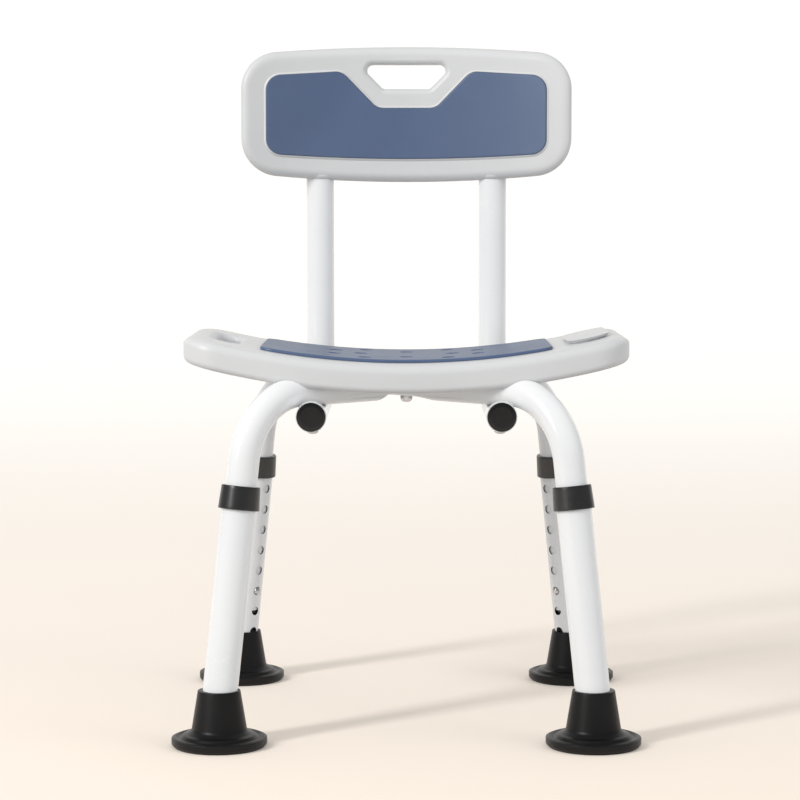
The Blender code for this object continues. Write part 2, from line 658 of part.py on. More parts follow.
def make_foot(corner, sx, sy, on_axis):
    """Rubber foot: a wide tread under a cone, bored along the leaning leg, with a steel washer in it."""
    low = up_leg(LEG_BOTTOM_Z)
    bore = [((0, 0, low - WASHER_THICK - 2 * GAP), (0, 0, up_leg(FOOT_HEIGHT + LEG_RADIUS)))]
    bore_foot = on_axis(rods("foot_bore_cutter_" + corner, bore, LEG_RADIUS + GAP, TURN_STEPS))
    washer = LEG_RADIUS - WASHER_CLEAR
    on_axis(turned("foot_washer_" + corner, [
        (0.0, low - GAP), (washer, low - GAP), (washer, low - GAP - WASHER_THICK),
        (0.0, low - GAP - WASHER_THICK),
    ], ZINC_STEEL, Matrix.Identity(4)))
    ring = FOOT_RADIUS - FOOT_RING
    foot = turned("rubber_foot_" + corner, [
        (0.0, FOOT_HEIGHT), (FOOT_RIM_RADIUS - FOOT_EDGE, FOOT_HEIGHT),
        (FOOT_RIM_RADIUS, FOOT_HEIGHT - FOOT_EDGE), (FOOT_NECK_RADIUS, FOOT_NECK_Z),
        (FOOT_NECK_RADIUS + FOOT_FLARE * 0.4, FOOT_NECK_Z - FOOT_FLARE),
        (FOOT_NECK_RADIUS + FOOT_FLARE * 1.5, FOOT_NECK_Z - 2 * FOOT_FLARE),
        (ring - FOOT_EDGE, FOOT_FLANGE + FOOT_RING_RISE), (ring + FOOT_EDGE, FOOT_FLANGE),
        (FOOT_RADIUS - FOOT_EDGE, FOOT_FLANGE), (FOOT_RADIUS, FOOT_FLANGE - FOOT_EDGE),
        (FOOT_RADIUS, FOOT_TREAD_CHAMFER), (FOOT_TREAD_RADIUS, 0.0), (0.0, 0.0),
    ], BLACK_RUBBER, Matrix.Translation((sx * FOOT_X, sy * FOOT_Y, 0.0)))
    cut(foot, bore_foot)


def make_leg(corner, sx, sy):
    """Everything on one telescopic leg, placed from an empty on the leg's axis."""
    axis = bpy.data.objects.new("leg_axis_" + corner, None)
    PARTS.objects.link(axis)
    axis.matrix_world = leg_place(sx, sy, BUTTON_Z)

    def on_axis(made):
        made.parent = axis
        return made

    make_leg_tube(corner, on_axis)
    make_collar(corner, on_axis)
    make_glide(corner, on_axis)
    make_button(corner, on_axis)
    make_foot(corner, sx, sy, on_axis)


# ---- the seat ------------------------------------------------------------------------
def drain_rods(low, high):
    spots = {(sx * x, sy * y) for x, y in DRAIN_SPOTS for sx in (-1, 1) for sy in (-1, 1)}
    return [((x, y, low), (x, y, high)) for x, y in sorted(spots)]


def slot_outline():
    """The hand slot at the right end of the seat."""
    corners = [(SLOT_X + sx * SLOT_HALF_WIDTH, sy * SLOT_HALF_LENGTH, SLOT_HALF_WIDTH * 0.98)
               for sx, sy in ((-1, -1), (1, -1), (1, 1), (-1, 1))]
    return round_corners(corners)


def both_sides(outline):
    return [outline, [(-x, y) for x, y in reversed(outline)]]


def make_seat():
    middle_z = SEAT_TOP_Z - SEAT_THICK / 2
    outline = bowed_outline(SEAT_HALF_X, SEAT_HALF_Y, SEAT_BULGE, SEAT_CORNER)
    outlines = [outline, *both_sides(slot_outline())]
    mesh = plate_mesh("seat_shell", outlines, SEAT_THICK, SEAT_EDGE, SEAT_STRIP, SEAT_HALF_X)
    lift(mesh, lambda x: middle_z + seat_rise(x))
    seat = add_object("seat_shell", mesh, WHITE_PLASTIC)
    for name, turn_x, above in (("upper", -1, True), ("lower", 1, False)):
        channel = cross_tube_mesh("channel_cutter_" + name, turn_x, above, GAP, True)
        cut(seat, add_object("channel_cutter_" + name, channel, None, cutter=True))
    drain_ends = drain_rods(middle_z - 2 * SEAT_THICK, middle_z + 2 * SEAT_THICK)
    drains = rods("drain_cutter", drain_ends, DRAIN_RADIUS)
    cut(seat, drains)
    socket_top = SEAT_CHANNEL_TOP + INSERT_LENGTH + GAP
    sockets = [((x, y, CROSS_Z), (x, y, socket_top)) for x, y in [*CROSSINGS.values(), (0, 0)]]
    cut(seat, rods("insert_socket_cutter", sockets, INSERT_RADIUS + GAP, TURN_STEPS))

    outline = bowed_outline(SEAT_PAD_HALF_X, SEAT_PAD_HALF_Y, SEAT_PAD_BULGE, SEAT_PAD_CORNER, 4)
    edge = SEAT_PAD_THICK * PAD_EDGE_SHARE
    mesh = plate_mesh("seat_pad", [outline], SEAT_PAD_THICK, edge, SEAT_STRIP, SEAT_PAD_HALF_X)
    lift(mesh, lambda x: SEAT_TOP_Z + GAP + SEAT_PAD_THICK / 2 + seat_rise(x))
    cut(add_object("seat_pad", mesh, BLUE_FOAM), drains)


# ---- the backrest -----------------------------------------------------------------------
def handle_outline():
    """The hand hole, about the panel's middle."""
    return round_corners([
        (-HANDLE_BOTTOM, HANDLE_LOW, HANDLE_CORNER), (HANDLE_BOTTOM, HANDLE_LOW, HANDLE_CORNER),
        (HANDLE_TOP, HANDLE_HIGH, HANDLE_CORNER), (-HANDLE_TOP, HANDLE_HIGH, HANDLE_CORNER),
    ])


def back_pad_outline():
    """The blue pad: two lobes either side of a notch under the hand hole."""
    flat, gentle = 1e-6, 0.2
    side_low, side_high = BACK_PAD_LOW + BACK_PAD_BULGE, BACK_PAD_HIGH - BACK_PAD_BULGE
    right = [
        (0.0, BACK_PAD_LOW, flat), (BACK_PAD_HALF_X / 2, BACK_PAD_LOW + BACK_PAD_BULGE / 4, gentle),
        (BACK_PAD_HALF_X, side_low, BACK_PAD_CORNER), (BACK_PAD_HALF_X, side_high, BACK_PAD_CORNER),
        (NOTCH_TOP, BACK_PAD_HIGH, NOTCH_CORNER), (NOTCH_BOTTOM, NOTCH_HIGH, NOTCH_CORNER),
        (0.0, NOTCH_HIGH, flat),
    ]
    return round_corners(right + [(-x, y, radius) for x, y, radius in reversed(right[1:-1])])


def make_backrest(panel_bores):
    outline = bowed_outline(PANEL_HALF_X, PANEL_HALF_Z, PANEL_BULGE, PANEL_CORNER)
    outlines = [outline, handle_outline()]
    mesh = plate_mesh("back_panel", outlines, PANEL_THICK, PANEL_EDGE, PANEL_STRIP, PANEL_HALF_X)
    stand_up(mesh, PANEL_MIDDLE_Z, PANEL_FRONT_Y + PANEL_THICK / 2, panel_advance)
    panel = add_object("back_panel", mesh, WHITE_PLASTIC)
    low = PANEL_MIDDLE_Z - PANEL_HALF_Z + PANEL_BULGE / 2
    top = BACK_TOP_Z + HOUSING_OVER
    for name, sx in (("left", -1), ("right", 1)):
        place = Matrix.Translation((sx * BACK_X, BACK_POST_Y, 0.0))
        housing = turned("post_housing_" + name, [
            (0.0, top + 2 * HOUSING_EDGE), (POST_HOUSING * 0.6, top + HOUSING_EDGE * 1.5),
            (POST_HOUSING, top - HOUSING_EDGE), (POST_HOUSING, low + HOUSING_EDGE * 1.5),
            (POST_HOUSING - HOUSING_EDGE, low), (0.0, low),
        ], None, place, cutter=True)
        cut(panel, housing, "UNION")
    sockets = [((sx * BACK_X, BACK_POST_Y, low - PANEL_HALF_Z), (sx * BACK_X, BACK_POST_Y, BACK_TOP_Z + GAP))
               for sx in (-1, 1)]
    cut(panel, rods("post_socket_cutter", sockets, BACK_RADIUS + POST_CLEAR, TURN_STEPS))
    cut(panel, panel_bores)

    edge = BACK_PAD_THICK * PAD_EDGE_SHARE
    mesh = plate_mesh("back_pad", [back_pad_outline()], BACK_PAD_THICK, edge, PANEL_STRIP, BACK_PAD_HALF_X)
    stand_up(mesh, PANEL_MIDDLE_Z, PANEL_FRONT_Y - GAP - BACK_PAD_THICK / 2, panel_advance)
    add_object("back_pad", mesh, BLUE_FOAM)


# ---- the fasteners ------------------------------------------------------------------------
def make_bolt(name, x, y, seat_z, top_z, head_radius, head, washer):
    """Dome-headed screw from below; seat_z is the face that its head or washer bears on."""
    under = seat_z - GAP
    profile = [(0.0, top_z), (SCREW_RADIUS, top_z), (SCREW_RADIUS, under)]
    if washer:
        profile += [(SCREW_WASHER_RADIUS, under), (SCREW_WASHER_RADIUS, under - SCREW_WASHER)]
        under -= SCREW_WASHER
    profile += [
        (head_radius, under), (head_radius, under - head * 0.35), (head_radius * 0.8, under - head * 0.75),
        (head_radius * 0.45, under - head), (0.0, under - head),
    ]
    return turned(name, profile, ZINC_STEEL, Matrix.Translation((x, y, 0.0)), steps=SMALL_STEPS)


def make_insert(name, x, y, low, length):
    """Brass insert that the screw's end stands in, open below and closed on top."""
    bore = SCREW_RADIUS + GAP
    return turned(name, [
        (0.0, low + length), (INSERT_RADIUS, low + length), (INSERT_RADIUS, low), (bore, low),
        (bore, low + length - INSERT_ROOF), (0.0, low + length - INSERT_ROOF),
    ], BRASS, Matrix.Translation((x, y, 0.0)), steps=SMALL_STEPS)


def make_fasteners():
    end_z = SEAT_CHANNEL_TOP + INSERT_LENGTH - SCREW_END_GAP
    for corner, (x, y) in CROSSINGS.items():
        make_bolt("frame_screw_" + corner, x, y, BACK_Z - BACK_RADIUS, end_z, SCREW_HEAD_RADIUS, SCREW_HEAD, True)
        make_insert("seat_insert_" + corner, x, y, SEAT_CHANNEL_TOP, INSERT_LENGTH)
    seat_z = CROSS_Z - CROSS_FLAT_LOW
    make_bolt("centre_screw", 0, 0, seat_z, end_z, CENTRE_HEAD_RADIUS, CENTRE_HEAD, False)
    make_insert("centre_insert", 0, 0, SEAT_CHANNEL_TOP, INSERT_LENGTH)
    for name, sx in (("left", -1), ("right", 1)):
        spot = Matrix.Translation((sx * BACK_X, BACK_POST_Y, PANEL_SCREW_Z))
        place = spot @ Matrix.Rotation(-math.pi / 2, 4, "X")
        face = POST_HOUSING + GAP
        shank_end = face - PANEL_SCREW_LENGTH
        turned("panel_screw_" + name, [
            (0.0, face + PANEL_SCREW_HEAD), (PANEL_SCREW_HEAD_RADIUS * 0.5, face + PANEL_SCREW_HEAD * 0.93),
            (PANEL_SCREW_HEAD_RADIUS * 0.9, face + PANEL_SCREW_HEAD * 0.6),
            (PANEL_SCREW_HEAD_RADIUS, face + PANEL_SCREW_HEAD * 0.27),
            (PANEL_SCREW_HEAD_RADIUS, face), (PANEL_SCREW_RADIUS, face), (PANEL_SCREW_RADIUS, shank_end),
            (0.0, shank_end - PANEL_SCREW_POINT),
        ], ZINC_STEEL, place, SMALL_STEPS)


cross_bores = make_cross_tubes()
screw_bores = make_back_tubes(cross_bores)
for corner_name, (side_x, side_y) in CORNERS.items():
    make_leg(corner_name, side_x, side_y)
make_seat()
make_backrest(screw_bores)
make_fasteners()
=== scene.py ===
"""Looks of the shower stool: fine surfaces, materials, light and camera round its working frame.

Units are metres. +Z is up, +X is to the right as seen from the front, and +Y is the back.
Surfaces are grids of points worked out with numpy. A few helpers make them:
sweep carries a ring along a path, turn spins a profile, and slab closes a body over an outline.
"""

import math

import bmesh
import bpy
import numpy as np
from mathutils import Matrix, Vector


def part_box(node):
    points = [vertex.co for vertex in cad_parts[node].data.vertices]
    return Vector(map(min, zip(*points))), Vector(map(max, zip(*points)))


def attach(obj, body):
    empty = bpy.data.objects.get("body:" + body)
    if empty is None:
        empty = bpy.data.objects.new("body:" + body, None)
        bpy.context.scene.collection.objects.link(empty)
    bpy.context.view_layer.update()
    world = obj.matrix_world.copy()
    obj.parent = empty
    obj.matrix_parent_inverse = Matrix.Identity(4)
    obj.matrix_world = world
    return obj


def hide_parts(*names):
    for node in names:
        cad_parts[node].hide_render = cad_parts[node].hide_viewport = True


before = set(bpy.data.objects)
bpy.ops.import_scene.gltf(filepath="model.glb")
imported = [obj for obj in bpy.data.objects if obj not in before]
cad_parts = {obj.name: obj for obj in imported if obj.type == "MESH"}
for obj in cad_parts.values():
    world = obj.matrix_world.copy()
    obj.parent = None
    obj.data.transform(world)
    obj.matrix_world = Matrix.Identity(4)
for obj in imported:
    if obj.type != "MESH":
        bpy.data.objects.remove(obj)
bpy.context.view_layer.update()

# ---- sizes shared with the working frame ----
GAP = 0.0003
LEG_SLOPE = 0.139
LEG_CENTRE_Z = 0.045
TUBE_WALL = 0.0012
CROSS_RADIUS = 0.0158
CROSS_BEND = 0.077
CROSS_FLAT, CROSS_FADE = 0.024, 0.020
CROSS_FLAT_LOW, CROSS_FLAT_TOP = 0.0123, 0.0148
CROSS_FLAT_SPREAD = 0.28
LEG_RADIUS = CROSS_RADIUS + 0.0005 + TUBE_WALL
HOLE_RADIUS, HOLE_PITCH, HOLE_COUNT = 0.0047, 0.02347, 8
FIRST_HOLE_DOWN, LEG_BELOW_BEND = 0.0330, 0.0270
BUTTON_IN_HOLE, TUBE_END_BELOW_BUTTON = 6, 0.0230
LEG_END_Z, WASHER_ROOM = 0.0146, 0.0026
COLLAR_HEIGHT, COLLAR_LIP = 0.0236, 0.0027
COLLAR_WALL_TOP, COLLAR_WALL_BOTTOM = 0.0019, 0.0032
BUTTON_RADIUS, BUTTON_FLANGE, BUTTON_FLANGE_THICK = 0.0043, 0.0056, 0.0014
BUTTON_PROUD = 0.0027
SEAT_BULGE, SEAT_CORNER, SEAT_THICK = 0.0065, 0.0380, 0.0290
SEAT_CURVE = 0.866
SLOT_FROM_END, SLOT_HALF_WIDTH, SLOT_HALF_LENGTH = 0.0400, 0.0125, 0.0540
SEAT_PAD_BULGE, SEAT_PAD_CORNER, SEAT_PAD_THICK = 0.0070, 0.0150, 0.0030
DRAIN_RADIUS = 0.0070
DRAIN_SPOTS = ((0.0, 0.040), (0.043, 0.060), (0.048, 0.0), (0.075, 0.026))
BACK_RADIUS, BACK_PRESS, BACK_FLAT, BACK_FADE, BACK_BEND = 0.01535, 0.00795, 0.025, 0.010, 0.046
PANEL_BULGE, PANEL_CORNER, PANEL_THICK = 0.0065, 0.0410, 0.0240
PANEL_CURVE = 0.450
HOUSING_WALL, HOUSING_OVER, POST_CLEAR = 0.00325, 0.0060, 0.0006
HANDLE_TOP, HANDLE_BOTTOM, HANDLE_CORNER = 0.0521, 0.0257, 0.0064
HANDLE_BELOW_TOP, HANDLE_HEIGHT = 0.0197, 0.0265
BACK_PAD_BULGE, BACK_PAD_CORNER, BACK_PAD_THICK = 0.0055, 0.0155, 0.0025
NOTCH_TOP, NOTCH_BOTTOM, NOTCH_BELOW_HANDLE, NOTCH_CORNER = 0.0710, 0.0322, 0.0212, 0.0165
SCREW_RADIUS, INSERT_RADIUS = 0.0030, 0.0050
PANEL_SCREW_RADIUS = 0.0022

# ---- places read from the frame ----
CORNERS = {"front_left": (-1, -1), "front_right": (1, -1), "rear_left": (-1, 1), "rear_right": (1, 1)}


def span(node):
    """Lowest corner, highest corner and middle of a node's box, as arrays."""
    low, high = (np.array(corner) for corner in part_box(node))
    return low, high, (low + high) / 2


FOOT_MIDDLE = span("rubber_foot_rear_right")[2]
OUT = np.array([FOOT_MIDDLE[0], FOOT_MIDDLE[1], 0.0])
FOOT_REACH = np.linalg.norm(OUT)
OUT = OUT / FOOT_REACH
LEAN = math.atan(LEG_SLOPE)
SEAT_HIGH = span("seat_shell")[1]
SEAT_HALF_X, SEAT_HALF_Y = SEAT_HIGH[0], SEAT_HIGH[1]
PANEL_LOW, PANEL_HIGH, PANEL_MIDDLE = span("back_panel")
PANEL_HALF_X, PANEL_HALF_Z = PANEL_HIGH[0], (PANEL_HIGH[2] - PANEL_LOW[2]) / 2
CROSSING = span("frame_screw_rear_right")[2]
CROSS_Z = span("centre_insert")[0][2] - GAP - CROSS_RADIUS
SEAT_CHANNEL_TOP = CROSS_Z + CROSS_RADIUS + GAP
SEAT_TOP_Z = span("seat_pad")[0][2] - GAP
BACK_Z = CROSS_Z - CROSS_RADIUS - GAP + BACK_PRESS - BACK_RADIUS
BACK_FRONT_Y = span("back_tube_left")[0][1]
BACK_POST_Y = span("back_tube_left")[1][1] - BACK_RADIUS
BACK_TOP_Z = span("back_tube_left")[1][2]


# ---- shape helpers ----
def arc(start, end, steps):
    """Evenly spaced angles from start to end, both included."""
    return np.linspace(start, end, steps + 1)


def fillet(corners, steps=6, closed=False):
    """Polyline of (x, y, radius) corners with each corner replaced by a tangent arc of its radius."""
    count = len(corners)
    points = []
    for i, (x, y, radius) in enumerate(corners):
        here = np.array([x, y])
        if radius == 0 or (not closed and i in (0, count - 1)):
            points.append(here[None])
            continue
        before = np.array(corners[i - 1][:2]) - here
        after = np.array(corners[(i + 1) % count][:2]) - here
        before, after = before / np.linalg.norm(before), after / np.linalg.norm(after)
        half = math.acos(np.clip(before @ after, -1, 1)) / 2
        middle = (before + after) / np.linalg.norm(before + after)
        centre = here + middle * radius / math.sin(half)
        sweep = math.pi - 2 * half
        side = np.array([-middle[1], middle[0]])
        side = side if side @ before > 0 else -side
        angles = arc(sweep / 2, -sweep / 2, steps)[:, None]
        points.append(centre + radius * (side * np.sin(angles) - middle * np.cos(angles)))
    return np.concatenate(points)


def refine(profile, longest):
    """Profile with points added so that no step is longer than longest."""
    steps = np.maximum(1, np.ceil(np.linalg.norm(np.diff(profile, axis=0), axis=1) / longest)).astype(int)
    pieces = [np.linspace(profile[i], profile[i + 1], n, endpoint=False) for i, n in enumerate(steps)]
    return np.concatenate([*pieces, profile[-1:]])


def grid_faces(rows, columns, ring, loop, first=0):
    """Four-cornered faces of a grid; ring closes its columns and loop closes its rows."""
    i = np.arange(rows if loop else rows - 1)
    j = np.arange(columns if ring else columns - 1)
    i, j = (index.ravel() for index in np.meshgrid(i, j, indexing="ij"))
    here, below, beside = i * columns, (i + 1) % rows * columns, (j + 1) % columns
    return first + np.column_stack((here + j, here + beside, below + beside, below + j))


def surface(name, grids, ring=True, loop=False, sharp=38.0):
    """Mesh object from grids shaped (rows, columns, 3), with poles closed and faces turned outwards."""
    points, faces, first = [], [], 0
    for grid in grids:
        rows, columns = grid.shape[:2]
        faces.append(grid_faces(rows, columns, ring, loop, first))
        points.append(grid.reshape(-1, 3))
        first += rows * columns
    mesh = bpy.data.meshes.new(name)
    mesh.from_pydata(np.concatenate(points), [], np.concatenate(faces))
    shape = bmesh.new()
    shape.from_mesh(mesh)
    bmesh.ops.remove_doubles(shape, verts=shape.verts, dist=2e-6)
    bmesh.ops.dissolve_degenerate(shape, dist=1e-7, edges=shape.edges)
    bmesh.ops.recalc_face_normals(shape, faces=shape.faces)
    shape.to_mesh(mesh)
    shape.free()
    mesh.shade_smooth()
    mesh.set_sharp_from_angle(angle=math.radians(sharp))
    made = bpy.data.objects.new(name, mesh)
    bpy.context.scene.collection.objects.link(made)
    return made


def placed(points, place):
    """Points moved by a matrix."""
    turn = np.array(place.to_3x3())
    return points @ turn.T + np.array(place.translation)


def turn(profile, place=Matrix.Identity(4), steps=64):
    """Grid of a profile of (radius, height) spun about the place's Z axis."""
    angles = arc(0, 2 * math.pi, steps)[:-1]
    radius, height = profile[:, 0, None], profile[:, 1, None]
    grid = np.stack(np.broadcast_arrays(radius * np.cos(angles), radius * np.sin(angles), height), axis=-1)
    return placed(grid, place)


def sweep(path, side, radius, steps=64):
    """Grid of a ring of the given radius carried along a path that lies square to side."""
    ahead = np.gradient(path, axis=0)
    ahead /= np.linalg.norm(ahead, axis=1)[:, None]
    up = np.cross(side, ahead)
    angles = arc(0, 2 * math.pi, steps)[:-1]
    ring = np.cos(angles)[None, :, None] * np.array(side) + np.sin(angles)[None, :, None] * up[:, None]
    return path[:, None] + radius * ring


def pipe(name, path, side, radius, wall, shape=None, steps=64):
    """Open-ended tube: the outer skin runs up the path and the inner skin back down; shape may press both."""
    outer, inner = sweep(path, side, radius, steps), sweep(path, side, radius - wall, steps)
    if shape:
        outer, inner = shape(outer, 0.0), shape(inner, wall)
    return surface(name, [np.concatenate([outer, inner[::-1]])], loop=True)


def loop_normals(outline):
    """Outward normals of an anticlockwise closed outline."""
    ahead = np.roll(outline, -1, axis=0) - np.roll(outline, 1, axis=0)
    normals = np.column_stack((ahead[:, 1], -ahead[:, 0]))
    return normals / np.linalg.norm(normals, axis=1)[:, None]


def outline_between(low, high, half_x, corner, steps=60, round_steps=14, side_steps=12):
    """Closed outline between two edges y = low(x) and y = high(x), with ends rounded by corner.

    The bottom runs from left to right and the top back from right to left over the same x. Each point has
    a spine point, midway between the edges and no nearer to the end than the corner.
    Returns the outline, its outward normals and the spine, each shaped (points, 2)."""
    end = half_x - corner * (1 - np.sin(arc(0, math.pi / 2, round_steps)))
    x = np.concatenate([np.linspace(0, half_x - corner, steps // 2, endpoint=False), end])
    x = np.concatenate([-x[:0:-1], x])
    cut = corner - np.sqrt(np.maximum(0, corner ** 2 - np.maximum(0, np.abs(x) - half_x + corner) ** 2))
    bottom, top = low(x) + cut, high(x) - cut
    share = np.linspace(0, 1, side_steps + 2)[1:-1]
    rise = bottom[-1] + (top[-1] - bottom[-1]) * share
    loop_x = np.concatenate([x, np.full(side_steps, half_x), x[::-1], np.full(side_steps, -half_x)])
    loop_y = np.concatenate([bottom, rise, top[::-1], rise[::-1]])
    outline = np.column_stack((loop_x, loop_y))
    spine_x = np.clip(loop_x, corner * 1.2 - half_x, half_x - corner * 1.2)
    spine = np.column_stack((spine_x, (low(spine_x) + high(spine_x)) / 2))
    return outline, loop_normals(outline), spine


def slab(outline, normals, spine, section, flat_rows=12, widen=0.0):
    """Closed grid over an outline, as (x, y, height).

    A section is a row of (inset, height): each ring lies inset inside the outline at that height.
    Widen lengthens the insets of the upper rings by a share, where the outline faces along X.
    The first and last rings run in straight lines to the spine, where the two halves meet."""
    ends = 1 + widen * normals[:, :1] ** 2
    rings = [outline - normals * inset * (ends if height > 0 else 1.0) for inset, height in section]
    share = np.linspace(0, 1, flat_rows + 1)[:-1]
    bottom = [spine + (rings[0] - spine) * s for s in share]
    top = [spine + (rings[-1] - spine) * s for s in share[::-1]]
    plan = np.stack([*bottom, *rings, *top])
    heights = np.array([section[0][1]] * flat_rows + [h for _, h in section] + [section[-1][1]] * flat_rows)
    return np.concatenate([plan, np.broadcast_to(heights[:, None, None], (*plan.shape[:2], 1))], axis=2)


def plate_section(low, high, round_low, round_high, steps=8):
    """Section of a plate between two heights with its two edges rounded."""
    angles = arc(0, math.pi / 2, steps)
    bottom = np.column_stack((round_low * (1 - np.sin(angles)), low + round_low * (1 - np.cos(angles))))
    top = np.column_stack((round_high * (1 - np.cos(angles)), high - round_high * (1 - np.sin(angles))))
    return np.concatenate([bottom, top])


def flare_section(low, high, radius, steps=8, beyond=0.004, stop=1.35):
    """Section of a cutter whose hole opens out by a rounded rim of this radius at both faces."""
    angles = arc(0, stop, steps)
    out, up = -radius * (1 - np.cos(angles)), radius * np.sin(angles)
    scale = radius / up[-1]
    top = np.column_stack((out, high - radius + up * scale))
    bottom = np.column_stack((out[::-1], low + radius - up[::-1] * scale))
    over = beyond * np.array([[-math.tan(stop) * 0.25, 1.0]])
    return np.concatenate([bottom[:1] + over * (1, -1), bottom, top, top[-1:] + over])


def cut(made, cutters, operation="DIFFERENCE"):
    """Cut or join with other objects, and remove them. Cut faces keep the index of the cutter's material."""
    for cutter in cutters:
        change = made.modifiers.new(cutter.name, "BOOLEAN")
        change.operation = operation
        change.solver = "EXACT"
        change.object = cutter
    graph = bpy.context.evaluated_depsgraph_get()
    mesh = bpy.data.meshes.new_from_object(made.evaluated_get(graph))
    made.modifiers.clear()
    made.data = mesh
    mesh.shade_smooth()
    mesh.set_sharp_from_angle(angle=math.radians(38))
    for cutter in cutters:
        bpy.data.objects.remove(cutter)
    return made


def bores(name, ends, radius, steps=40):
    """Cutter: round bars from a low point to a high point, in one object."""
    grids = []
    for low, high in ends:
        low, high = Vector(low), Vector(high)
        place = Matrix.Translation(low) @ (high - low).to_track_quat("Z", "Y").to_matrix().to_4x4()
        length = (high - low).length
        grids.append(turn(np.array([(0, 0), (radius, 0), (radius, length), (0, length)]), place, steps))
    return surface(name, grids)


# ---- materials ----
def node_group(name, inputs, outputs):
    """Empty shader group with float inputs and outputs, and its in and out nodes."""
    group = bpy.data.node_groups.new(name, "ShaderNodeTree")
    for label, value in inputs.items():
        socket = group.interface.new_socket(label, in_out="INPUT", socket_type="NodeSocketFloat")
        socket.default_value = value
    for label in outputs:
        group.interface.new_socket(label, in_out="OUTPUT", socket_type="NodeSocketFloat")
    return group, group.nodes.new("NodeGroupInput"), group.nodes.new("NodeGroupOutput")


def noise(tree, vector, scale, detail, roughness=0.5):
    """Noise texture on a vector; scale may be a number or a socket."""
    made = tree.nodes.new("ShaderNodeTexNoise")
    made.inputs["Detail"].default_value = detail
    made.inputs["Roughness"].default_value = roughness
    tree.links.new(vector, made.inputs["Vector"])
    if isinstance(scale, (int, float)):
        made.inputs["Scale"].default_value = scale
    else:
        tree.links.new(scale, made.inputs["Scale"])
    return made.outputs["Fac"]


def make_grain_group():
    """Grain of a moulded or sprayed surface: fine pits on soft waves, and a slow drift for its colour."""
    group, given, result = node_group(
        "moulded_grain", {"Pit Scale": 1800.0, "Wave Scale": 260.0, "Wave Share": 0.4, "Drift Scale": 9.0},
        ("Height", "Drift", "Pits"))
    place = group.nodes.new("ShaderNodeTexCoord").outputs["Object"]
    pits = noise(group, place, given.outputs["Pit Scale"], 2.0, 0.6)
    waves = noise(group, place, given.outputs["Wave Scale"], 1.0)
    drift = noise(group, place, given.outputs["Drift Scale"], 3.0)
    mix = group.nodes.new("ShaderNodeMix")
    mix.data_type = "FLOAT"
    group.links.new(given.outputs["Wave Share"], mix.inputs["Factor"])
    group.links.new(pits, mix.inputs["A"])
    group.links.new(waves, mix.inputs["B"])
    group.links.new(mix.outputs["Result"], result.inputs["Height"])
    group.links.new(drift, result.inputs["Drift"])
    group.links.new(pits, result.inputs["Pits"])
    return group


def make_scuff_group():
    """Handling marks: thin dull streaks, long in one direction, over a small share of the surface."""
    group, given, result = node_group("handling_scuffs", {"Scale": 90.0, "Cover": 0.30}, ("Scuffs",))
    place = group.nodes.new("ShaderNodeTexCoord").outputs["Object"]
    stretch = group.nodes.new("ShaderNodeMapping")
    stretch.inputs["Rotation"].default_value = (0.5, 0.2, 0.7)
    stretch.inputs["Scale"].default_value = (1.0, 9.0, 2.5)
    group.links.new(place, stretch.inputs["Vector"])
    streaks = noise(group, stretch.outputs["Vector"], given.outputs["Scale"], 4.0, 0.7)
    patches = noise(group, place, 18.0, 2.0)
    both = group.nodes.new("ShaderNodeMath")
    both.operation = "MULTIPLY"
    group.links.new(streaks, both.inputs[0])
    group.links.new(patches, both.inputs[1])
    level = group.nodes.new("ShaderNodeMath")
    level.operation = "SUBTRACT"
    group.links.new(both.outputs[0], level.inputs[0])
    group.links.new(given.outputs["Cover"], level.inputs[1])
    gain = group.nodes.new("ShaderNodeMath")
    gain.operation = "MULTIPLY"
    gain.inputs[1].default_value = 8.0
    gain.use_clamp = True
    group.links.new(level.outputs[0], gain.inputs[0])
    group.links.new(gain.outputs[0], result.inputs["Scuffs"])
    return group


GRAIN_SCALES = ("Pit Scale", "Wave Scale", "Wave Share", "Drift Scale")
GRAIN = make_grain_group()
SCUFFS = make_scuff_group()


def blend_colour(tree, factor, first, second):
    """Colour that goes from first to second with factor."""
    mix = tree.nodes.new("ShaderNodeMix")
    mix.data_type = "RGBA"
    mix.inputs["A"].default_value = (*first, 1.0)
    mix.inputs["B"].default_value = (*second, 1.0)
    tree.links.new(factor, mix.inputs["Factor"])
    return mix.outputs["Result"]


def spread(tree, value, low, high):
    """Value in the middle half of 0 to 1 spread over low to high."""
    ranged = tree.nodes.new("ShaderNodeMapRange")
    ranged.inputs["From Min"].default_value = 0.3
    ranged.inputs["From Max"].default_value = 0.7
    ranged.inputs["To Min"].default_value = low
    ranged.inputs["To Max"].default_value = high
    tree.links.new(value, ranged.inputs["Value"])
    return ranged.outputs["Result"]


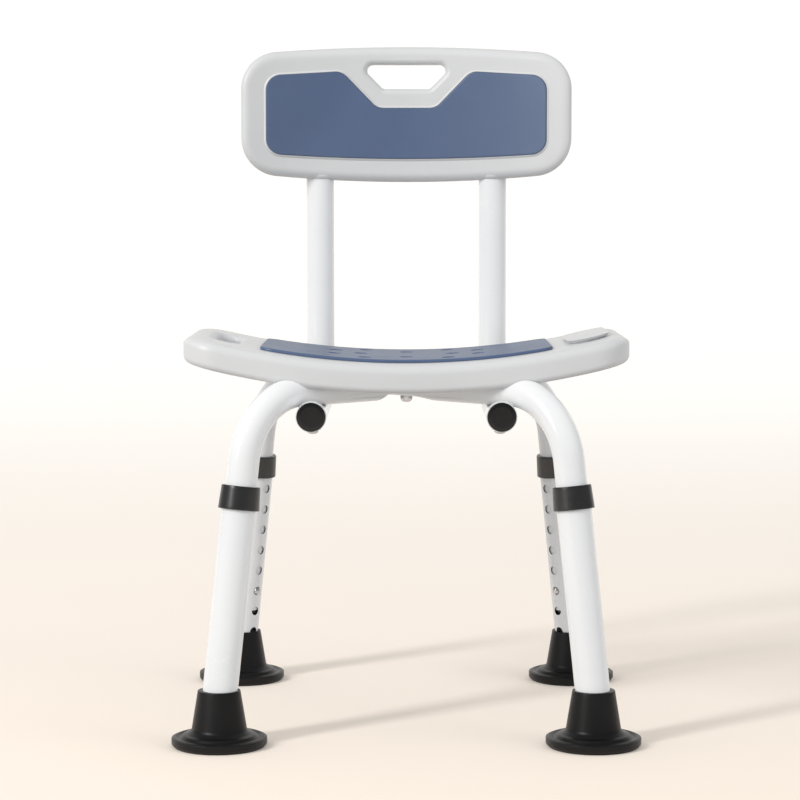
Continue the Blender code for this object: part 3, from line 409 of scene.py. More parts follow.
def make_finish(name, dark, light, rough, bump, grain, scuffed=0.0, settings=None):
    """Material from the two groups.

    dark and light are the ends of the slow drift of colour, rough is the lowest and highest roughness,
    bump is the depth of the grain in metres, and grain is its four scales. Settings are values of the
    shader's other sockets."""
    material = bpy.data.materials.new(name)
    material.use_nodes = True
    tree = material.node_tree
    shader = tree.nodes["Principled BSDF"]
    for label, value in (settings or {}).items():
        shader.inputs[label].default_value = value
    surface_grain = tree.nodes.new("ShaderNodeGroup")
    surface_grain.node_tree = GRAIN
    for label, value in zip(GRAIN_SCALES, grain):
        surface_grain.inputs[label].default_value = value
    colour = blend_colour(tree, spread(tree, surface_grain.outputs["Drift"], 0.0, 1.0), dark, light)
    roughness = spread(tree, surface_grain.outputs["Pits"], *rough)
    if scuffed:
        marks = tree.nodes.new("ShaderNodeGroup")
        marks.node_tree = SCUFFS
        add = tree.nodes.new("ShaderNodeMath")
        add.operation = "MULTIPLY_ADD"
        add.inputs[1].default_value = scuffed
        tree.links.new(marks.outputs["Scuffs"], add.inputs[0])
        tree.links.new(roughness, add.inputs[2])
        roughness = add.outputs[0]
    tree.links.new(colour, shader.inputs["Base Color"])
    tree.links.new(roughness, shader.inputs["Roughness"])
    relief = tree.nodes.new("ShaderNodeBump")
    relief.inputs["Strength"].default_value = 1.0
    relief.inputs["Distance"].default_value = bump
    tree.links.new(surface_grain.outputs["Height"], relief.inputs["Height"])
    tree.links.new(relief.outputs["Normal"], shader.inputs["Normal"])
    return material


FINISHES = {
    "white_plastic": make_finish(
        "satin_white_plastic", (0.645, 0.654, 0.668), (0.682, 0.690, 0.701), (0.34, 0.44), 0.00004,
        (1500.0, 120.0, 0.35, 7.0), 0.12),
    "white_tube": make_finish(
        "white_powder_coat", (0.850, 0.862, 0.880), (0.878, 0.888, 0.900), (0.16, 0.22), 0.000035,
        (900.0, 330.0, 0.75, 11.0), 0.10,
        {"Coat Weight": 0.35, "Coat Roughness": 0.08}),
    "blue_foam": make_finish(
        "blue_foam_skin", (0.066, 0.112, 0.222), (0.078, 0.128, 0.246), (0.38, 0.50), 0.00009,
        (1700.0, 520.0, 0.45, 14.0), 0.10,
        {"Specular IOR Level": 0.90}),
    "black_rubber": make_finish(
        "black_rubber", (0.0050, 0.0050, 0.0058), (0.0085, 0.0085, 0.0095), (0.34, 0.44), 0.00005,
        (1400.0, 300.0, 0.3, 22.0), 0.18,
        {"Specular IOR Level": 0.28}),
    "black_plastic": make_finish(
        "black_moulded_plastic", (0.0045, 0.0050, 0.0062), (0.0075, 0.0080, 0.0095), (0.20, 0.28), 0.00003,
        (1600.0, 400.0, 0.3, 25.0), 0.12,
        {"Specular IOR Level": 0.40}),
    "black_ring": make_finish(
        "black_satin_plastic", (0.0070, 0.0080, 0.0100), (0.0110, 0.0120, 0.0145), (0.30, 0.36), 0.00003,
        (1600.0, 400.0, 0.3, 25.0), 0.12,
        {"Specular IOR Level": 0.75}),
    "zinc_steel": make_finish(
        "bright_zinc_plate", (0.52, 0.53, 0.55), (0.66, 0.67, 0.69), (0.16, 0.34), 0.00002,
        (2600.0, 700.0, 0.4, 120.0), 0.2,
        {"Metallic": 1.0}),
    # Walls of the leg holes: bare metal given a near-black colour, which paints the shade inside the holes.
    "hole_wall_shade": make_finish(
        "painted_shade_hole_wall", (0.055, 0.058, 0.063), (0.100, 0.104, 0.110), (0.30, 0.46), 0.00002,
        (2600.0, 700.0, 0.4, 120.0), 0.2,
        {"Metallic": 1.0}),
    "brass": make_finish(
        "turned_brass", (0.60, 0.43, 0.17), (0.72, 0.54, 0.24), (0.22, 0.40), 0.00002,
        (2600.0, 900.0, 0.4, 120.0), 0.2,
        {"Metallic": 1.0}),
}


def finish_piece(made, node, body, slot, second=None, finish=None):
    """Let a piece stand for a node on a body, with its slot's finish or another one.

    Faces of material index 1 get the second finish."""
    indices = np.zeros(len(made.data.polygons), dtype=np.int32)
    made.data.polygons.foreach_get("material_index", indices)
    made.data.materials.clear()
    for name in (finish or slot, second or slot):
        made.data.materials.append(FINISHES[name])
    made.data.polygons.foreach_set("material_index", indices if second else indices * 0)
    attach(made, body)
    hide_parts(node)
    return made


# ---- crossed tubes ----
def leg_place(sx, sy, height):
    """Matrix at a height on a leg's axis: Z up the leg, X square to it towards the stool's middle."""
    out = Vector((sx * OUT[0], sy * OUT[1], 0.0))
    up = (Vector((0, 0, 1)) - LEG_SLOPE * out).normalized()
    inward = (-out * math.cos(LEAN) - Vector((0, 0, math.sin(LEAN)))).normalized()
    place = Matrix((inward, up.cross(inward), up)).transposed().to_4x4()
    place.translation = out * (FOOT_REACH - LEG_SLOPE * (height - LEG_CENTRE_Z)) + Vector((0, 0, height))
    return place


CROSS_TURN = math.pi / 2 - LEAN
BEND_END_Z = CROSS_Z - CROSS_BEND * (1 - math.cos(CROSS_TURN))
BEND_END = FOOT_REACH - LEG_SLOPE * (BEND_END_Z - LEG_CENTRE_Z)
BEND_START = BEND_END - CROSS_BEND * math.sin(CROSS_TURN)
LEG_TOP_Z = BEND_END_Z - LEG_BELOW_BEND
BUTTON_Z = LEG_TOP_Z - FIRST_HOLE_DOWN - (BUTTON_IN_HOLE - 1) * HOLE_PITCH * math.cos(LEAN)
TUBE_END_Z = BUTTON_Z - TUBE_END_BELOW_BUTTON * math.cos(LEAN)


def cross_path():
    """Half of a crossed tube's centreline as (reach, height): level, an arc, then down the leg's axis."""
    level = np.linspace(0.0, BEND_START, 46)[:-1]
    angles = arc(0, CROSS_TURN, 26)
    straight = np.linspace(BEND_END_Z, TUBE_END_Z, 40)[1:]
    reach = np.concatenate([level, BEND_START + CROSS_BEND * np.sin(angles),
                            FOOT_REACH - LEG_SLOPE * (straight - LEG_CENTRE_Z)])
    height = np.concatenate([np.full(len(level), CROSS_Z),
                             CROSS_Z - CROSS_BEND * (1 - np.cos(angles)), straight])
    return np.column_stack((reach, height))


def press_cross(out, side, above):
    """Function that presses a tube flat near the crossing, where the other tube passes over or under it.

    The ring is squeezed between two planes and widened, by a share that fades with the distance."""
    def shape(points, inner):
        radius = CROSS_RADIUS - inner
        low_middle = (GAP / 2 if above else -CROSS_FLAT_LOW) + inner
        top_middle = (CROSS_FLAT_TOP if above else -GAP / 2) - inner
        share = np.clip((CROSS_FLAT + CROSS_FADE - np.abs(points @ out)) / CROSS_FADE, 0, 1)
        share = share * share * (3 - 2 * share)
        low = -radius + share * (low_middle + radius)
        top = radius + share * (top_middle - radius)
        level = points[..., 2] - CROSS_Z
        squeezed = low + (level + radius) * (top - low) / (2 * radius)
        pressed = 0.5 * (squeezed + np.clip(level, low, top))
        moved = points + (points @ side * CROSS_FLAT_SPREAD * share)[..., None] * side
        moved[..., 2] = np.where(share > 0, CROSS_Z + pressed, points[..., 2])
        return moved
    return shape


def cross_tube(name, turn_x, above, grow=0.0):
    """A crossed tube from foot to foot; grow makes the closed cutter that clears it."""
    out = np.array([turn_x * OUT[0], -OUT[1], 0.0])
    side = np.array([OUT[1], turn_x * OUT[0], 0.0])
    half = cross_path()
    near = half[::-1, :1] * out + half[::-1, 1:] * (0, 0, 1)
    far = -half[1:, :1] * out + half[1:, 1:] * (0, 0, 1)
    path = np.concatenate([near, far])
    press = press_cross(out, side, above)
    if grow:
        skin = press(sweep(path, side, CROSS_RADIUS + grow, 48), -grow)
        ends = [np.broadcast_to(path[i], (1, 48, 3)) for i in (0, -1)]
        return surface(name, [np.concatenate([ends[0], skin, ends[1]])])
    return pipe(name, path, side, CROSS_RADIUS, TUBE_WALL, press)


def button_bores():
    """Bars through the wall of each crossed tube where its snap button stands."""
    ends = []
    for sx, sy in CORNERS.values():
        place = leg_place(sx, sy, BUTTON_Z)
        ends.append((place @ Vector((CROSS_RADIUS / 2, 0, 0)), place @ Vector((LEG_RADIUS * 1.6, 0, 0))))
    return ends


def crossing_spots():
    """The four places where a back tube passes under a crossed tube, and the middle."""
    spots = [(sx * CROSSING[0], sy * CROSSING[1]) for sx, sy in CORNERS.values()]
    return [*spots, (0.0, 0.0)]


def make_cross_tubes():
    low, high = BACK_Z - 2 * BACK_RADIUS, SEAT_CHANNEL_TOP + INSERT_RADIUS
    for name, turn_x, above in (("cross_tube_upper", -1, True), ("cross_tube_lower", 1, False)):
        tube = cross_tube(name + "_skin", turn_x, above)
        spots = [(x, y) for x, y in crossing_spots() if x * turn_x * y <= 0]
        screws = bores("screw_bores", [((x, y, low), (x, y, high)) for x, y in spots], SCREW_RADIUS + GAP, 24)
        cut(tube, [bores("button_bores", button_bores(), HOLE_RADIUS, 36), screws])
        finish_piece(tube, name, "frame", "white_tube")


# ---- back tubes ----
def press_back(points, inner):
    """Flatten the top of a back tube under each crossed tube; the flat's depth fades out along the tube."""
    away = np.abs(np.abs(points[..., 1]) - CROSSING[1])
    share = np.clip((BACK_FLAT + BACK_FADE - away) / BACK_FADE, 0, 1)
    share = share * share * (3 - 2 * share)
    top = BACK_Z + BACK_RADIUS - inner - share * BACK_PRESS
    before_bend = points[..., 1] < BACK_POST_Y - BACK_BEND * 0.8
    level_run = (points[..., 2] < BACK_Z + BACK_RADIUS * 1.2) & before_bend
    moved = points.copy()
    moved[..., 2] = np.where(level_run, np.minimum(points[..., 2], top), points[..., 2])
    return moved


def make_back_tubes():
    bend_y = BACK_POST_Y - BACK_BEND
    angles = arc(0, math.pi / 2, 24)
    level = np.linspace(BACK_FRONT_Y, bend_y, 120)[:-1]
    post = np.linspace(BACK_Z + BACK_BEND, BACK_TOP_Z, 60)[1:]
    y = np.concatenate([level, bend_y + BACK_BEND * np.sin(angles), np.full(len(post), BACK_POST_Y)])
    z = np.concatenate([np.full(len(level), BACK_Z), BACK_Z + BACK_BEND * (1 - np.cos(angles)), post])
    for name, sx in (("left", -1), ("right", 1)):
        path = np.column_stack((np.full(len(y), sx * CROSSING[0]), y, z))
        tube = pipe("back_tube_skin_" + name, path, (1.0, 0.0, 0.0), BACK_RADIUS, TUBE_WALL, press_back)
        x = sx * CROSSING[0]
        ends = [((x, sy * CROSSING[1], BACK_Z - 0.03), (x, sy * CROSSING[1], CROSS_Z)) for sy in (-1, 1)]
        screw = span("panel_screw_" + name)[2]
        ends.append(((x, BACK_POST_Y, screw[2]), (x, BACK_POST_Y + 0.05, screw[2])))
        cut(tube, [bores("tube_bores", ends, SCREW_RADIUS + GAP, 24)])
        finish_piece(tube, "back_tube_" + name, "frame", "white_tube")
        make_plug(name)


def make_plug(name):
    """End plug: a shallow domed cap with a rounded rim over a plain round stem."""
    low, high, middle = span("back_tube_plug_" + name)
    radius = (high[0] - low[0]) / 2
    head = BACK_FRONT_Y - GAP - low[1]
    stem = BACK_RADIUS - TUBE_WALL - 2 * GAP
    length = high[1] - BACK_FRONT_Y
    dome = 0.0003
    profile = fillet([
        (0.0, -head, 0), (radius * 0.72, -head, 0.004), (radius, -head + dome, 0.0009),
        (radius, -GAP, 0.0003), (stem, -GAP, 0), (stem, length, 0.001), (0.0, length, 0),
    ])
    place = Matrix.Translation((middle[0], BACK_FRONT_Y, middle[2])) @ Matrix.Rotation(-math.pi / 2, 4, "X")
    plug = surface("end_plug_" + name, [turn(profile, place)])
    finish_piece(plug, "back_tube_plug_" + name, "frame", "black_plastic")


# ---- legs ----
def up_leg(height):
    """Distance along a leg's axis, from the button up to a height."""
    return (height - BUTTON_Z) / math.cos(LEAN)


LEG_TOP = up_leg(LEG_TOP_Z)
LEG_LOW = up_leg(LEG_END_Z)


def make_leg_tube(corner, axis):
    """Round tube with eight adjusting holes, whose rims are slightly rounded, in the side that faces in. The
    hole walls get a near-black finish that paints the shade inside the holes.
    """
    along = np.arange(LEG_LOW, LEG_TOP, 0.0022)
    path = placed(np.column_stack((0 * along, 0 * along, along)), axis)
    side = np.array(axis.to_3x3() @ Vector((0, 1, 0)))
    tube = pipe("leg_skin_" + corner, path, side, LEG_RADIUS, TUBE_WALL, steps=72)
    first = LEG_TOP - FIRST_HOLE_DOWN / math.cos(LEAN)
    rim = 0.0004
    bore = fillet([(0, 0, 0), (HOLE_RADIUS, 0, 0), (HOLE_RADIUS, LEG_RADIUS / 2, rim * 2),
                   (HOLE_RADIUS + 2 * rim, LEG_RADIUS / 2 + 3 * rim, 0), (0, LEG_RADIUS / 2 + 3 * rim, 0)])
    grids = []
    for i in range(HOLE_COUNT):
        spot = axis @ Matrix.Translation((LEG_RADIUS / 2, 0, first - HOLE_PITCH * i))
        grids.append(turn(bore, spot @ Matrix.Rotation(math.pi / 2, 4, "Y"), 40))
    holes = surface("leg_holes", grids)
    # Faces cut by the hole cutters keep their near-black finish: painted shade on the hole walls.
    for made, index in ((tube, 0), (holes, 1)):
        made.data.materials.append(FINISHES["white_tube"])
        made.data.materials.append(FINISHES["hole_wall_shade"])
        indices = np.full(len(made.data.polygons), index, dtype=np.int32)
        made.data.polygons.foreach_set("material_index", indices)
    cut(tube, [holes])
    finish_piece(tube, "leg_tube_" + corner, "leg_" + corner, "white_tube", "hole_wall_shade")


def make_collar(corner, axis):
    """Tapered collar with rounded edges and a lip that closes on the upper tube."""
    top = LEG_TOP + COLLAR_LIP + GAP
    bottom = top - COLLAR_HEIGHT
    mouth, bore = CROSS_RADIUS + GAP, LEG_RADIUS + GAP
    wide_top, wide_bottom = LEG_RADIUS + COLLAR_WALL_TOP, LEG_RADIUS + COLLAR_WALL_BOTTOM
    profile = fillet([
        (mouth, top, 0.0003), (wide_top, top, 0.0009), (wide_bottom, bottom, 0.0006), (bore, bottom, 0.0003),
        (bore, top - COLLAR_LIP, 0), (mouth, top - COLLAR_LIP, 0),
    ], closed=True)
    collar = surface("collar_" + corner, [turn(refine(profile, 0.003), axis, 96)], loop=True)
    finish_piece(collar, "leg_collar_" + corner, "leg_" + corner, "black_plastic", finish="black_ring")


def make_button(corner, axis):
    """Snap button: a round dome over a straight side and a flange."""
    wall_inside = (CROSS_RADIUS - TUBE_WALL * 1.02) * math.cos(math.pi / 16)
    flange = math.sqrt(wall_inside ** 2 - BUTTON_FLANGE ** 2) - GAP
    tip = LEG_RADIUS + BUTTON_PROUD
    angles = arc(0, math.pi / 2, 14)
    dome = np.column_stack((BUTTON_RADIUS * np.sin(angles), tip - BUTTON_PROUD * (1 - np.cos(angles))))
    under = np.array([(BUTTON_RADIUS, flange), (BUTTON_FLANGE, flange),
                      (BUTTON_FLANGE, flange - BUTTON_FLANGE_THICK), (0.0, flange - BUTTON_FLANGE_THICK)])
    place = axis @ Matrix.Rotation(math.pi / 2, 4, "Y")
    button = surface("button_" + corner, [turn(np.concatenate([dome, under]), place, 48)])
    finish_piece(button, "snap_button_" + corner, "button_" + corner, "zinc_steel")


def make_foot(corner, axis):
    """Wide rubber foot, bored along the leg: a cone with a rolled rim, a flare, a raised ring and a tread."""
    low, high, middle = span("rubber_foot_" + corner)
    wide, tall = (high[0] - low[0]) / 2, high[2] - low[2]
    rim, neck = LEG_RADIUS + 0.0037, LEG_RADIUS + 0.0097
    flange = 0.0090
    ring = wide - 0.0100
    profile = fillet([
        (0.0, tall, 0), (rim, tall, 0.0010), (neck + 0.0004, 0.0165, 0.0055), (neck + 0.0050, 0.0132, 0.0040),
        (ring - 0.0012, flange + 0.0030, 0.0026), (ring + 0.0018, flange - 0.0006, 0.0024),
        (wide - 0.0034, flange + 0.0012, 0.0030), (wide, flange - 0.0002, 0.0007),
        (wide, 0.0030, 0.0015), (wide - 0.0026, 0.0, 0.0008), (0.0, 0.0, 0),
    ], steps=7)
    place = Matrix.Translation((middle[0], middle[1], 0.0))
    foot = surface("foot_" + corner, [turn(refine(profile, 0.004), place, 128)])
    start = LEG_LOW - WASHER_ROOM
    mouth = up_leg(tall)
    spread_out = 0.0005
    over = mouth + 3 * spread_out + 0.004
    radius = LEG_RADIUS + GAP
    bore = np.array([(0, start), (radius, start), (radius, mouth - spread_out),
                     (radius + 4 * spread_out, over), (0, over)])
    cut(foot, [surface("foot_bore", [turn(refine(bore, 0.006), axis, 96)])])
    finish_piece(foot, "rubber_foot_" + corner, "leg_" + corner, "black_rubber")


def make_legs():
    for corner, (sx, sy) in CORNERS.items():
        axis = leg_place(sx, sy, BUTTON_Z)
        for maker in (make_leg_tube, make_collar, make_button, make_foot):
            maker(corner, axis)


# ---- seat ----
def dish(x, curve):
    """Rise of an arc of radius curve at a distance x from its middle."""
    return curve - np.sqrt(curve ** 2 - x ** 2)


def onto_seat(grid, middle):
    """Lay a grid of (x, y, height) on the dished seat, with height 0 at middle."""
    height = middle + grid[..., 2] + dish(grid[..., 0], SEAT_CURVE)
    return np.stack([grid[..., 0], grid[..., 1], height], axis=-1)


def bowed(half_x, half_y, bulge, corner, steps=100, round_steps=18, side_steps=16):
    """Rounded rectangle whose long edges bow out in a parabola that runs straight into the corner arcs.

    Returns the outline, its outward normals, and for each point the nearest point of the long spine."""
    lean = 0.0
    for _ in range(8):
        reach = half_x - corner + corner * math.sin(lean)
        lean = math.atan(2 * bulge / reach)
    x = np.linspace(0, reach, steps)[:-1]
    bottom = np.column_stack((x, bulge * (x / reach) ** 2 - half_y))
    angles = arc(lean - math.pi / 2, 0, round_steps)
    low = corner * math.cos(lean) - half_y + bulge
    bend = np.column_stack((half_x - corner + corner * np.cos(angles), low + corner * np.sin(angles)))
    side = np.column_stack((np.full(side_steps, half_x), np.linspace(low, 0, side_steps + 1)[1:]))
    quarter = np.concatenate([bottom, bend, side])
    right = np.concatenate([quarter, quarter[-2::-1] * (1, -1)])
    outline = np.concatenate([right, right[-2:0:-1] * (-1, 1)])
    spine_end = half_x - corner * 1.2
    spine = np.column_stack((np.clip(outline[:, 0], -spine_end, spine_end), np.zeros(len(outline))))
    return outline, loop_normals(outline), spine


def round_hole(x, y, radius, section, steps=32):
    """Slab over a circle, for a drain hole's cutter."""
    angles = arc(0, 2 * math.pi, steps)[:-1]
    normals = np.column_stack((np.cos(angles), np.sin(angles)))
    centre = np.array([[x, y]])
    return slab(centre + radius * normals, normals, np.repeat(centre, steps, axis=0), section, 1)


def drains(middle, low, high, rim):
    """Cutters of the twelve drain holes."""
    section = flare_section(low, high, rim, 4)
    spots = sorted({(sx * x, sy * y) for x, y in DRAIN_SPOTS for sx in (-1, 1) for sy in (-1, 1)})
    return [onto_seat(round_hole(x, y, DRAIN_RADIUS, section), middle) for x, y in spots]


def hand_slots(middle, low, high, rim):
    """Cutters of the two hand slots: long rounded holes whose rims open out in a soft curve."""
    x = SEAT_HALF_X - SLOT_FROM_END
    width, length = SLOT_HALF_WIDTH, SLOT_HALF_LENGTH
    corners = [(x + sx * width, sy * length, width * 0.98) for sx, sy in ((-1, -1), (1, -1), (1, 1), (-1, 1))]
    right = refine(fillet(corners, 12, closed=True), 0.004)
    grids = []
    for outline in (right, right[::-1] * (-1, 1)):
        normals = loop_normals(outline)
        spine = np.column_stack((np.full(len(outline), outline[:, 0].mean()),
                                 np.clip(outline[:, 1], width - length, length - width)))
        grids.append(onto_seat(slab(outline, normals, spine, flare_section(low, high, rim), 2), middle))
    return grids


def make_seat():
    """Moulded seat: a dished plate with round edges, hand slots, drain holes and grooves for the tubes."""
    half = SEAT_THICK / 2
    middle = SEAT_TOP_Z - half
    body = slab(*bowed(SEAT_HALF_X, SEAT_HALF_Y, SEAT_BULGE, SEAT_CORNER, steps=110),
                plate_section(-half, half, 0.0065, 0.0105, 10), 16, 1.1)
    seat = surface("moulded_seat", [onto_seat(body, middle)])
    grooves = [cross_tube("groove_" + name, turn_x, above, GAP)
               for name, turn_x, above in (("upper", -1, True), ("lower", 1, False))]
    top = span("centre_insert")[1][2] + GAP
    sockets = bores("insert_sockets", [((x, y, CROSS_Z), (x, y, top)) for x, y in crossing_spots()],
                    INSERT_RADIUS + GAP, 32)
    cut(seat, [
        surface("seat_slots", hand_slots(middle, -half, half, 0.0060)),
        surface("seat_drains", drains(middle, -half, half, 0.0010)), *grooves, sockets,
    ])
    finish_piece(seat, "seat_shell", "frame", "white_plastic")


def make_seat_pad():
    """Foam seat pad: a thin plate with a soft crowned edge and the drain holes, laid on the dished seat."""
    low, high, _ = span("seat_pad")
    body = slab(*bowed(high[0], high[1], SEAT_PAD_BULGE, SEAT_PAD_CORNER, steps=90),
                plate_section(0.0, SEAT_PAD_THICK, 0.0004, 0.0016, 8), 14)
    pad = surface("seat_foam_pad", [onto_seat(body, SEAT_TOP_Z + GAP)])
    half = SEAT_PAD_THICK / 2
    holes = drains(SEAT_TOP_Z + GAP + half, -half, half, 0.0009)
    cut(pad, [surface("pad_drains", holes)])
    finish_piece(pad, "seat_pad", "frame", "blue_foam")


# ---- backrest ----
def onto_panel(grid, face_y):
    """Stand a grid of (x, height above the middle, depth to the front) upright on the dished backrest."""
    depth = face_y - grid[..., 2] - dish(grid[..., 0], PANEL_CURVE)
    return np.stack([grid[..., 0], depth, PANEL_MIDDLE[2] + grid[..., 1]], axis=-1)


HANDLE_HIGH = PANEL_HALF_Z - HANDLE_BELOW_TOP
HANDLE_LOW = HANDLE_HIGH - HANDLE_HEIGHT
PANEL_FRONT_Y = span("back_pad")[1][1] + GAP


def hand_hole(face_y, rim):
    """Cutter of the hand hole: a trapezoid with rounded corners and a soft rim at both faces."""
    outline = refine(fillet([
        (-HANDLE_BOTTOM, HANDLE_LOW, HANDLE_CORNER), (HANDLE_BOTTOM, HANDLE_LOW, HANDLE_CORNER),
        (HANDLE_TOP, HANDLE_HIGH, HANDLE_CORNER), (-HANDLE_TOP, HANDLE_HIGH, HANDLE_CORNER),
    ], 10, closed=True), 0.003)
    spine = np.column_stack((np.clip(outline[:, 0], -HANDLE_BOTTOM / 2, HANDLE_BOTTOM / 2),
                             np.full(len(outline), (HANDLE_LOW + HANDLE_HIGH) / 2)))
    half = PANEL_THICK / 2
    body = slab(outline, loop_normals(outline), spine, flare_section(-half, half, rim), 2)
    return surface("hand_hole", [onto_panel(body, face_y)])


def make_back_panel():
    """Moulded backrest: a dished plate with round edges, a hand hole and a round housing for each post."""
    half = PANEL_THICK / 2
    middle = PANEL_FRONT_Y + half
    body = slab(*bowed(PANEL_HALF_X, PANEL_HALF_Z, PANEL_BULGE, PANEL_CORNER, steps=90),
                plate_section(-half, half, 0.0110, 0.0105, 10), 16)
    panel = surface("moulded_backrest", [onto_panel(body, middle)])
    lip, bed = pad_lip()
    cut(panel, [lip], "UNION")
    cut(panel, [bed, hand_hole(middle, 0.0065)])
    low = PANEL_MIDDLE[2] - PANEL_HALF_Z + PANEL_BULGE / 2
    radius = BACK_RADIUS + HOUSING_WALL
    top = BACK_TOP_Z + HOUSING_OVER
    profile = fillet([
        (0.0, top + 0.0080, 0), (radius * 0.6, top + 0.0060, 0.006), (radius, top - 0.004, 0.006),
        (radius, low + 0.0015, 0.004), (radius - 0.0045, low, 0), (0.0, low, 0),
    ])
    posts = [Matrix.Translation((sx * CROSSING[0], BACK_POST_Y, 0.0)) for sx in (-1, 1)]
    cut(panel, [surface("post_housing", [turn(refine(profile, 0.006), post, 72)]) for post in posts], "UNION")
    sockets = [(post @ Vector((0, 0, low - 0.05)), post @ Vector((0, 0, BACK_TOP_Z + GAP))) for post in posts]
    screw_z = span("panel_screw_left")[2][2]
    screws = [(post @ Vector((0, 0, screw_z)), post @ Vector((0, 0.06, screw_z))) for post in posts]
    cut(panel, [bores("post_sockets", sockets, BACK_RADIUS + POST_CLEAR, 64),
                bores("panel_screw_bores", screws, PANEL_SCREW_RADIUS + GAP, 24)])
    finish_piece(panel, "back_panel", "frame", "white_plastic")


def back_pad_plan():
    """Outline, normals and spine of the back pad: a bowed foot and a notch under the hand hole."""
    low_corner, high_corner, _ = span("back_pad")
    half_x = high_corner[0]
    low, high = low_corner[2] - PANEL_MIDDLE[2], high_corner[2] - PANEL_MIDDLE[2]
    notch = HANDLE_LOW - NOTCH_BELOW_HANDLE
    ends = high - BACK_PAD_BULGE
    line = fillet([(0.0, notch, 0), (NOTCH_BOTTOM, notch, NOTCH_CORNER), (NOTCH_TOP, high, NOTCH_CORNER),
                   (half_x, ends, 0)], 10)

    def upper(x):
        return np.interp(np.abs(x), line[:, 0], line[:, 1])

    def lower(x):
        return low + BACK_PAD_BULGE * (x / half_x) ** 2

    return outline_between(lower, upper, half_x, BACK_PAD_CORNER, steps=220)


def pad_lip():
    """Low bevelled lip of the backrest round the back pad, and the cutter of the pad's bed inside it."""
    plan = back_pad_plan()
    bevel = np.array([(-0.0028, -0.0030), (-0.0028, -0.0002), (-0.0026, 0.0002),
                      (-0.0010, 0.0013), (-0.0007, 0.0015)])
    lip = surface("pad_lip", [onto_panel(slab(*plan, bevel, 10), PANEL_FRONT_Y)])
    bed = np.array([(-0.0004, 0.0), (-0.0004, 0.0040)])
    return lip, surface("pad_bed", [onto_panel(slab(*plan, bed, 10), PANEL_FRONT_Y)])


def make_back_pad():
    """Foam back pad: a thin plate with a soft crowned edge."""
    body = slab(*back_pad_plan(), plate_section(0.0, BACK_PAD_THICK, 0.0004, 0.0013, 7), 14)
    pad = surface("back_foam_pad", [onto_panel(body, PANEL_FRONT_Y - GAP)])
    finish_piece(pad, "back_pad", "frame", "blue_foam")


# ---- fasteners ----
def hex_recess(radius, low, high, place):
    """Cutter of a six-sided key hole."""
    profile = np.array([(0, low), (radius, low), (radius, high), (0, high)])
    return surface("key_hole", [turn(profile, place, 6)], sharp=20)


def make_screw(node, head_radius, head, washer_radius, washer, reach, place, thread):
    """Dome-headed screw with a key hole, head up: the head rises from height 0 over a washer."""
    angles = arc(0.12, math.pi / 2, 12)
    dome = np.column_stack((head_radius * np.sin(angles), washer + head * (0.35 + 0.65 * np.cos(angles))))
    crown = [(0.0, dome[0, 1]), *dome, (head_radius, washer)]
    rim = np.array([(head_radius, 0.0), (thread, 0.0)])
    if washer:
        rim = fillet([(head_radius, washer, 0), (washer_radius, washer, 0.0003),
                      (washer_radius, 0.0, 0.0003), (thread, 0.0, 0)])
    profile = np.concatenate([np.array(crown), rim, [(thread, -reach), (0.0, -reach)]])
    screw = surface("screw_" + node, [turn(profile, place, 48)])
    cut(screw, [hex_recess(head_radius * 0.42, washer + head * 0.45, washer + head * 1.3, place)])
    finish_piece(screw, node, "frame", "zinc_steel")


def make_fasteners():
    over = Matrix.Rotation(math.pi, 4, "X")
    for corner in CORNERS:
        low, high, middle = span("frame_screw_" + corner)
        seat_z = BACK_Z - BACK_RADIUS - GAP
        place = Matrix.Translation((middle[0], middle[1], seat_z)) @ over
        make_screw("frame_screw_" + corner, 0.0060, 0.0045, 0.0085, 0.0012, high[2] - seat_z, place,
                   SCREW_RADIUS)
    low, high, middle = span("centre_screw")
    seat_z = CROSS_Z - CROSS_FLAT_LOW - GAP
    place = Matrix.Translation((0.0, 0.0, seat_z)) @ over
    make_screw("centre_screw", 0.0064, seat_z - low[2], 0.0, 0.0, high[2] - seat_z, place, SCREW_RADIUS)
    for name in ("left", "right"):
        low, high, middle = span("panel_screw_" + name)
        face = BACK_POST_Y + BACK_RADIUS + HOUSING_WALL + GAP
        place = Matrix.Translation((middle[0], face, middle[2])) @ Matrix.Rotation(-math.pi / 2, 4, "X")
        make_screw("panel_screw_" + name, 0.0048, 0.0030, 0.0, 0.0, face - low[1], place,
                   PANEL_SCREW_RADIUS)


def finish_hidden_nodes():
    """Pieces inside the stool keep their working shape and get a proper finish."""
    slots = {"spring_clip_": "zinc_steel", "foot_washer_": "zinc_steel", "tube_glide_": "black_plastic"}
    for name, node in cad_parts.items():
        if node.hide_render:
            continue
        slot = next((s for start, s in slots.items() if name.startswith(start)), "brass")
        node.data.materials.clear()
        node.data.materials.append(FINISHES[slot])


# ---- stage ----
FLOOR_NEAR = (0.89, 0.79, 0.695)
FLOOR_FAR = (0.88, 0.875, 0.855)
FLOOR_BOUNCE = (0.40, 0.385, 0.37, 1.0)
# Glow of the paper from front to back: painted light that makes the paper brighter towards the wall.
GLOW_NEAR = (0.08, 0.08, 0.08)
GLOW_FAR = (0.40, 0.39, 0.375)
ROOM_LIGHT, ROOM_SHEEN = 0.68, 0.26
CAMERA_PLACE = (0.0, -2.6649, 0.5499)
CAMERA_TIP, CAMERA_LENS, CAMERA_SHIFT = 4.705, 114.32, -0.008


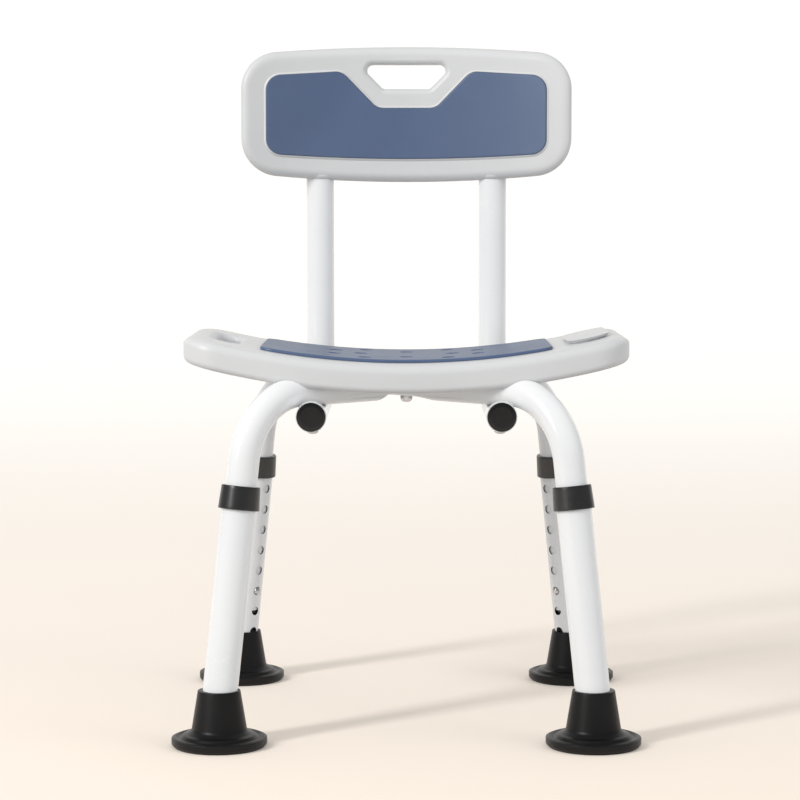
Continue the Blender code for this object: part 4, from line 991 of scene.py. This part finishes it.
def make_stage():
    """Pale floor that sweeps up into a pale wall; cream at the front and white at the back, where the paper
    also glows with painted light.
    """
    bend, wall_y, wall_z, front_y, half = 2.5, 7.0, 6.0, -6.0, 9.0
    angles = arc(0, math.pi / 2, 24)
    level_y = np.linspace(front_y, wall_y - bend, 30)[:-1]
    y = np.concatenate([level_y, wall_y - bend + bend * np.sin(angles), [wall_y]])
    z = np.concatenate([0 * level_y, bend * (1 - np.cos(angles)), [wall_z]])
    x = np.linspace(-half, half, 21)
    grid = np.stack(np.broadcast_arrays(x[None, :], y[:, None], z[:, None]), axis=-1)
    floor = surface("pale_floor", [grid], ring=False)
    if floor.data.polygons[0].normal.z < 0:
        floor.data.flip_normals()
    material = bpy.data.materials.new("pale_paper")
    material.use_nodes = True
    tree = material.node_tree
    place = tree.nodes.new("ShaderNodeTexCoord").outputs["Object"]
    split = tree.nodes.new("ShaderNodeSeparateXYZ")
    tree.links.new(place, split.inputs[0])
    ramp = tree.nodes.new("ShaderNodeMapRange")
    ramp.inputs["From Min"].default_value = -0.9
    ramp.inputs["From Max"].default_value = 5.0
    ramp.interpolation_type = "SMOOTHSTEP"
    tree.links.new(split.outputs["Y"], ramp.inputs["Value"])
    colour = blend_colour(tree, ramp.outputs["Result"], FLOOR_NEAR, FLOOR_FAR)
    shader = tree.nodes["Principled BSDF"]
    shader.inputs["Roughness"].default_value = 0.9
    shader.inputs["Specular IOR Level"].default_value = 0.1
    bounce = tree.nodes.new("ShaderNodeMix")
    bounce.data_type = "RGBA"
    bounce.inputs["B"].default_value = FLOOR_BOUNCE
    tree.links.new(tree.nodes.new("ShaderNodeLightPath").outputs["Is Diffuse Ray"], bounce.inputs["Factor"])
    tree.links.new(colour, bounce.inputs["A"])
    tree.links.new(bounce.outputs["Result"], shader.inputs["Base Color"])
    # The paper glows, more towards the back: painted light, not a lamp.
    glow = blend_colour(tree, ramp.outputs["Result"], GLOW_NEAR, GLOW_FAR)
    tree.links.new(glow, shader.inputs["Emission Color"])
    shader.inputs["Emission Strength"].default_value = 1.0
    floor.data.materials.append(material)


def add_area_light(name, azimuth, elevation, distance, size, power, colour, target=(0.0, 0.0, 0.35)):
    """Flat soft light of a width and a height that looks at the stool from a direction."""
    light = bpy.data.lights.new(name, "AREA")
    light.shape = "RECTANGLE"
    light.size, light.size_y = size
    light.energy = power
    light.color = colour
    holder = bpy.data.objects.new(name, light)
    bpy.context.scene.collection.objects.link(holder)
    around, up = math.radians(azimuth), math.radians(elevation)
    way = Vector((math.sin(around) * math.cos(up), -math.cos(around) * math.cos(up), math.sin(up)))
    holder.location = Vector(target) + way * distance
    holder.rotation_euler = (-way).to_track_quat("-Z", "Y").to_euler()
    return holder


def make_lights():
    """Tall key light from the left, weaker fill from the right, and a room that is dimmer in glossy parts."""
    add_area_light("key", -50, 29, 4.2, (0.5, 2.4), 100.0, (1.0, 0.99, 0.97))
    fill = add_area_light("fill", 62, 15, 4.0, (2.2, 3.0), 32.0, (0.97, 0.985, 1.0))
    fill.visible_glossy = False
    world = bpy.data.worlds.new("soft_room")
    bpy.context.scene.world = world
    world.use_nodes = True
    tree = world.node_tree
    tree.nodes["Background"].inputs["Color"].default_value = (1.0, 0.995, 0.985, 1.0)
    strength = tree.nodes.new("ShaderNodeMix")
    strength.inputs["A"].default_value = ROOM_LIGHT
    strength.inputs["B"].default_value = ROOM_SHEEN
    tree.links.new(tree.nodes.new("ShaderNodeLightPath").outputs["Is Glossy Ray"], strength.inputs["Factor"])
    tree.links.new(strength.outputs["Result"], tree.nodes["Background"].inputs["Strength"])


def make_camera():
    """Long lens in front of the stool, a little above the backrest's middle and tipped down."""
    lens = bpy.data.cameras.new("camera")
    lens.sensor_width = 36.0
    lens.lens = CAMERA_LENS
    lens.shift_x = CAMERA_SHIFT
    lens.clip_end = 50.0
    camera = bpy.data.objects.new("camera", lens)
    bpy.context.scene.collection.objects.link(camera)
    camera.location = CAMERA_PLACE
    camera.rotation_euler = (math.radians(90 - CAMERA_TIP), 0.0, 0.0)
    bpy.context.scene.camera = camera
    bpy.context.scene.view_settings.view_transform = "Standard"


make_camera()
make_lights()
make_stage()
make_cross_tubes()
make_back_tubes()
make_legs()
make_seat()
make_seat_pad()
make_back_panel()
make_back_pad()
make_fasteners()
finish_hidden_nodes()
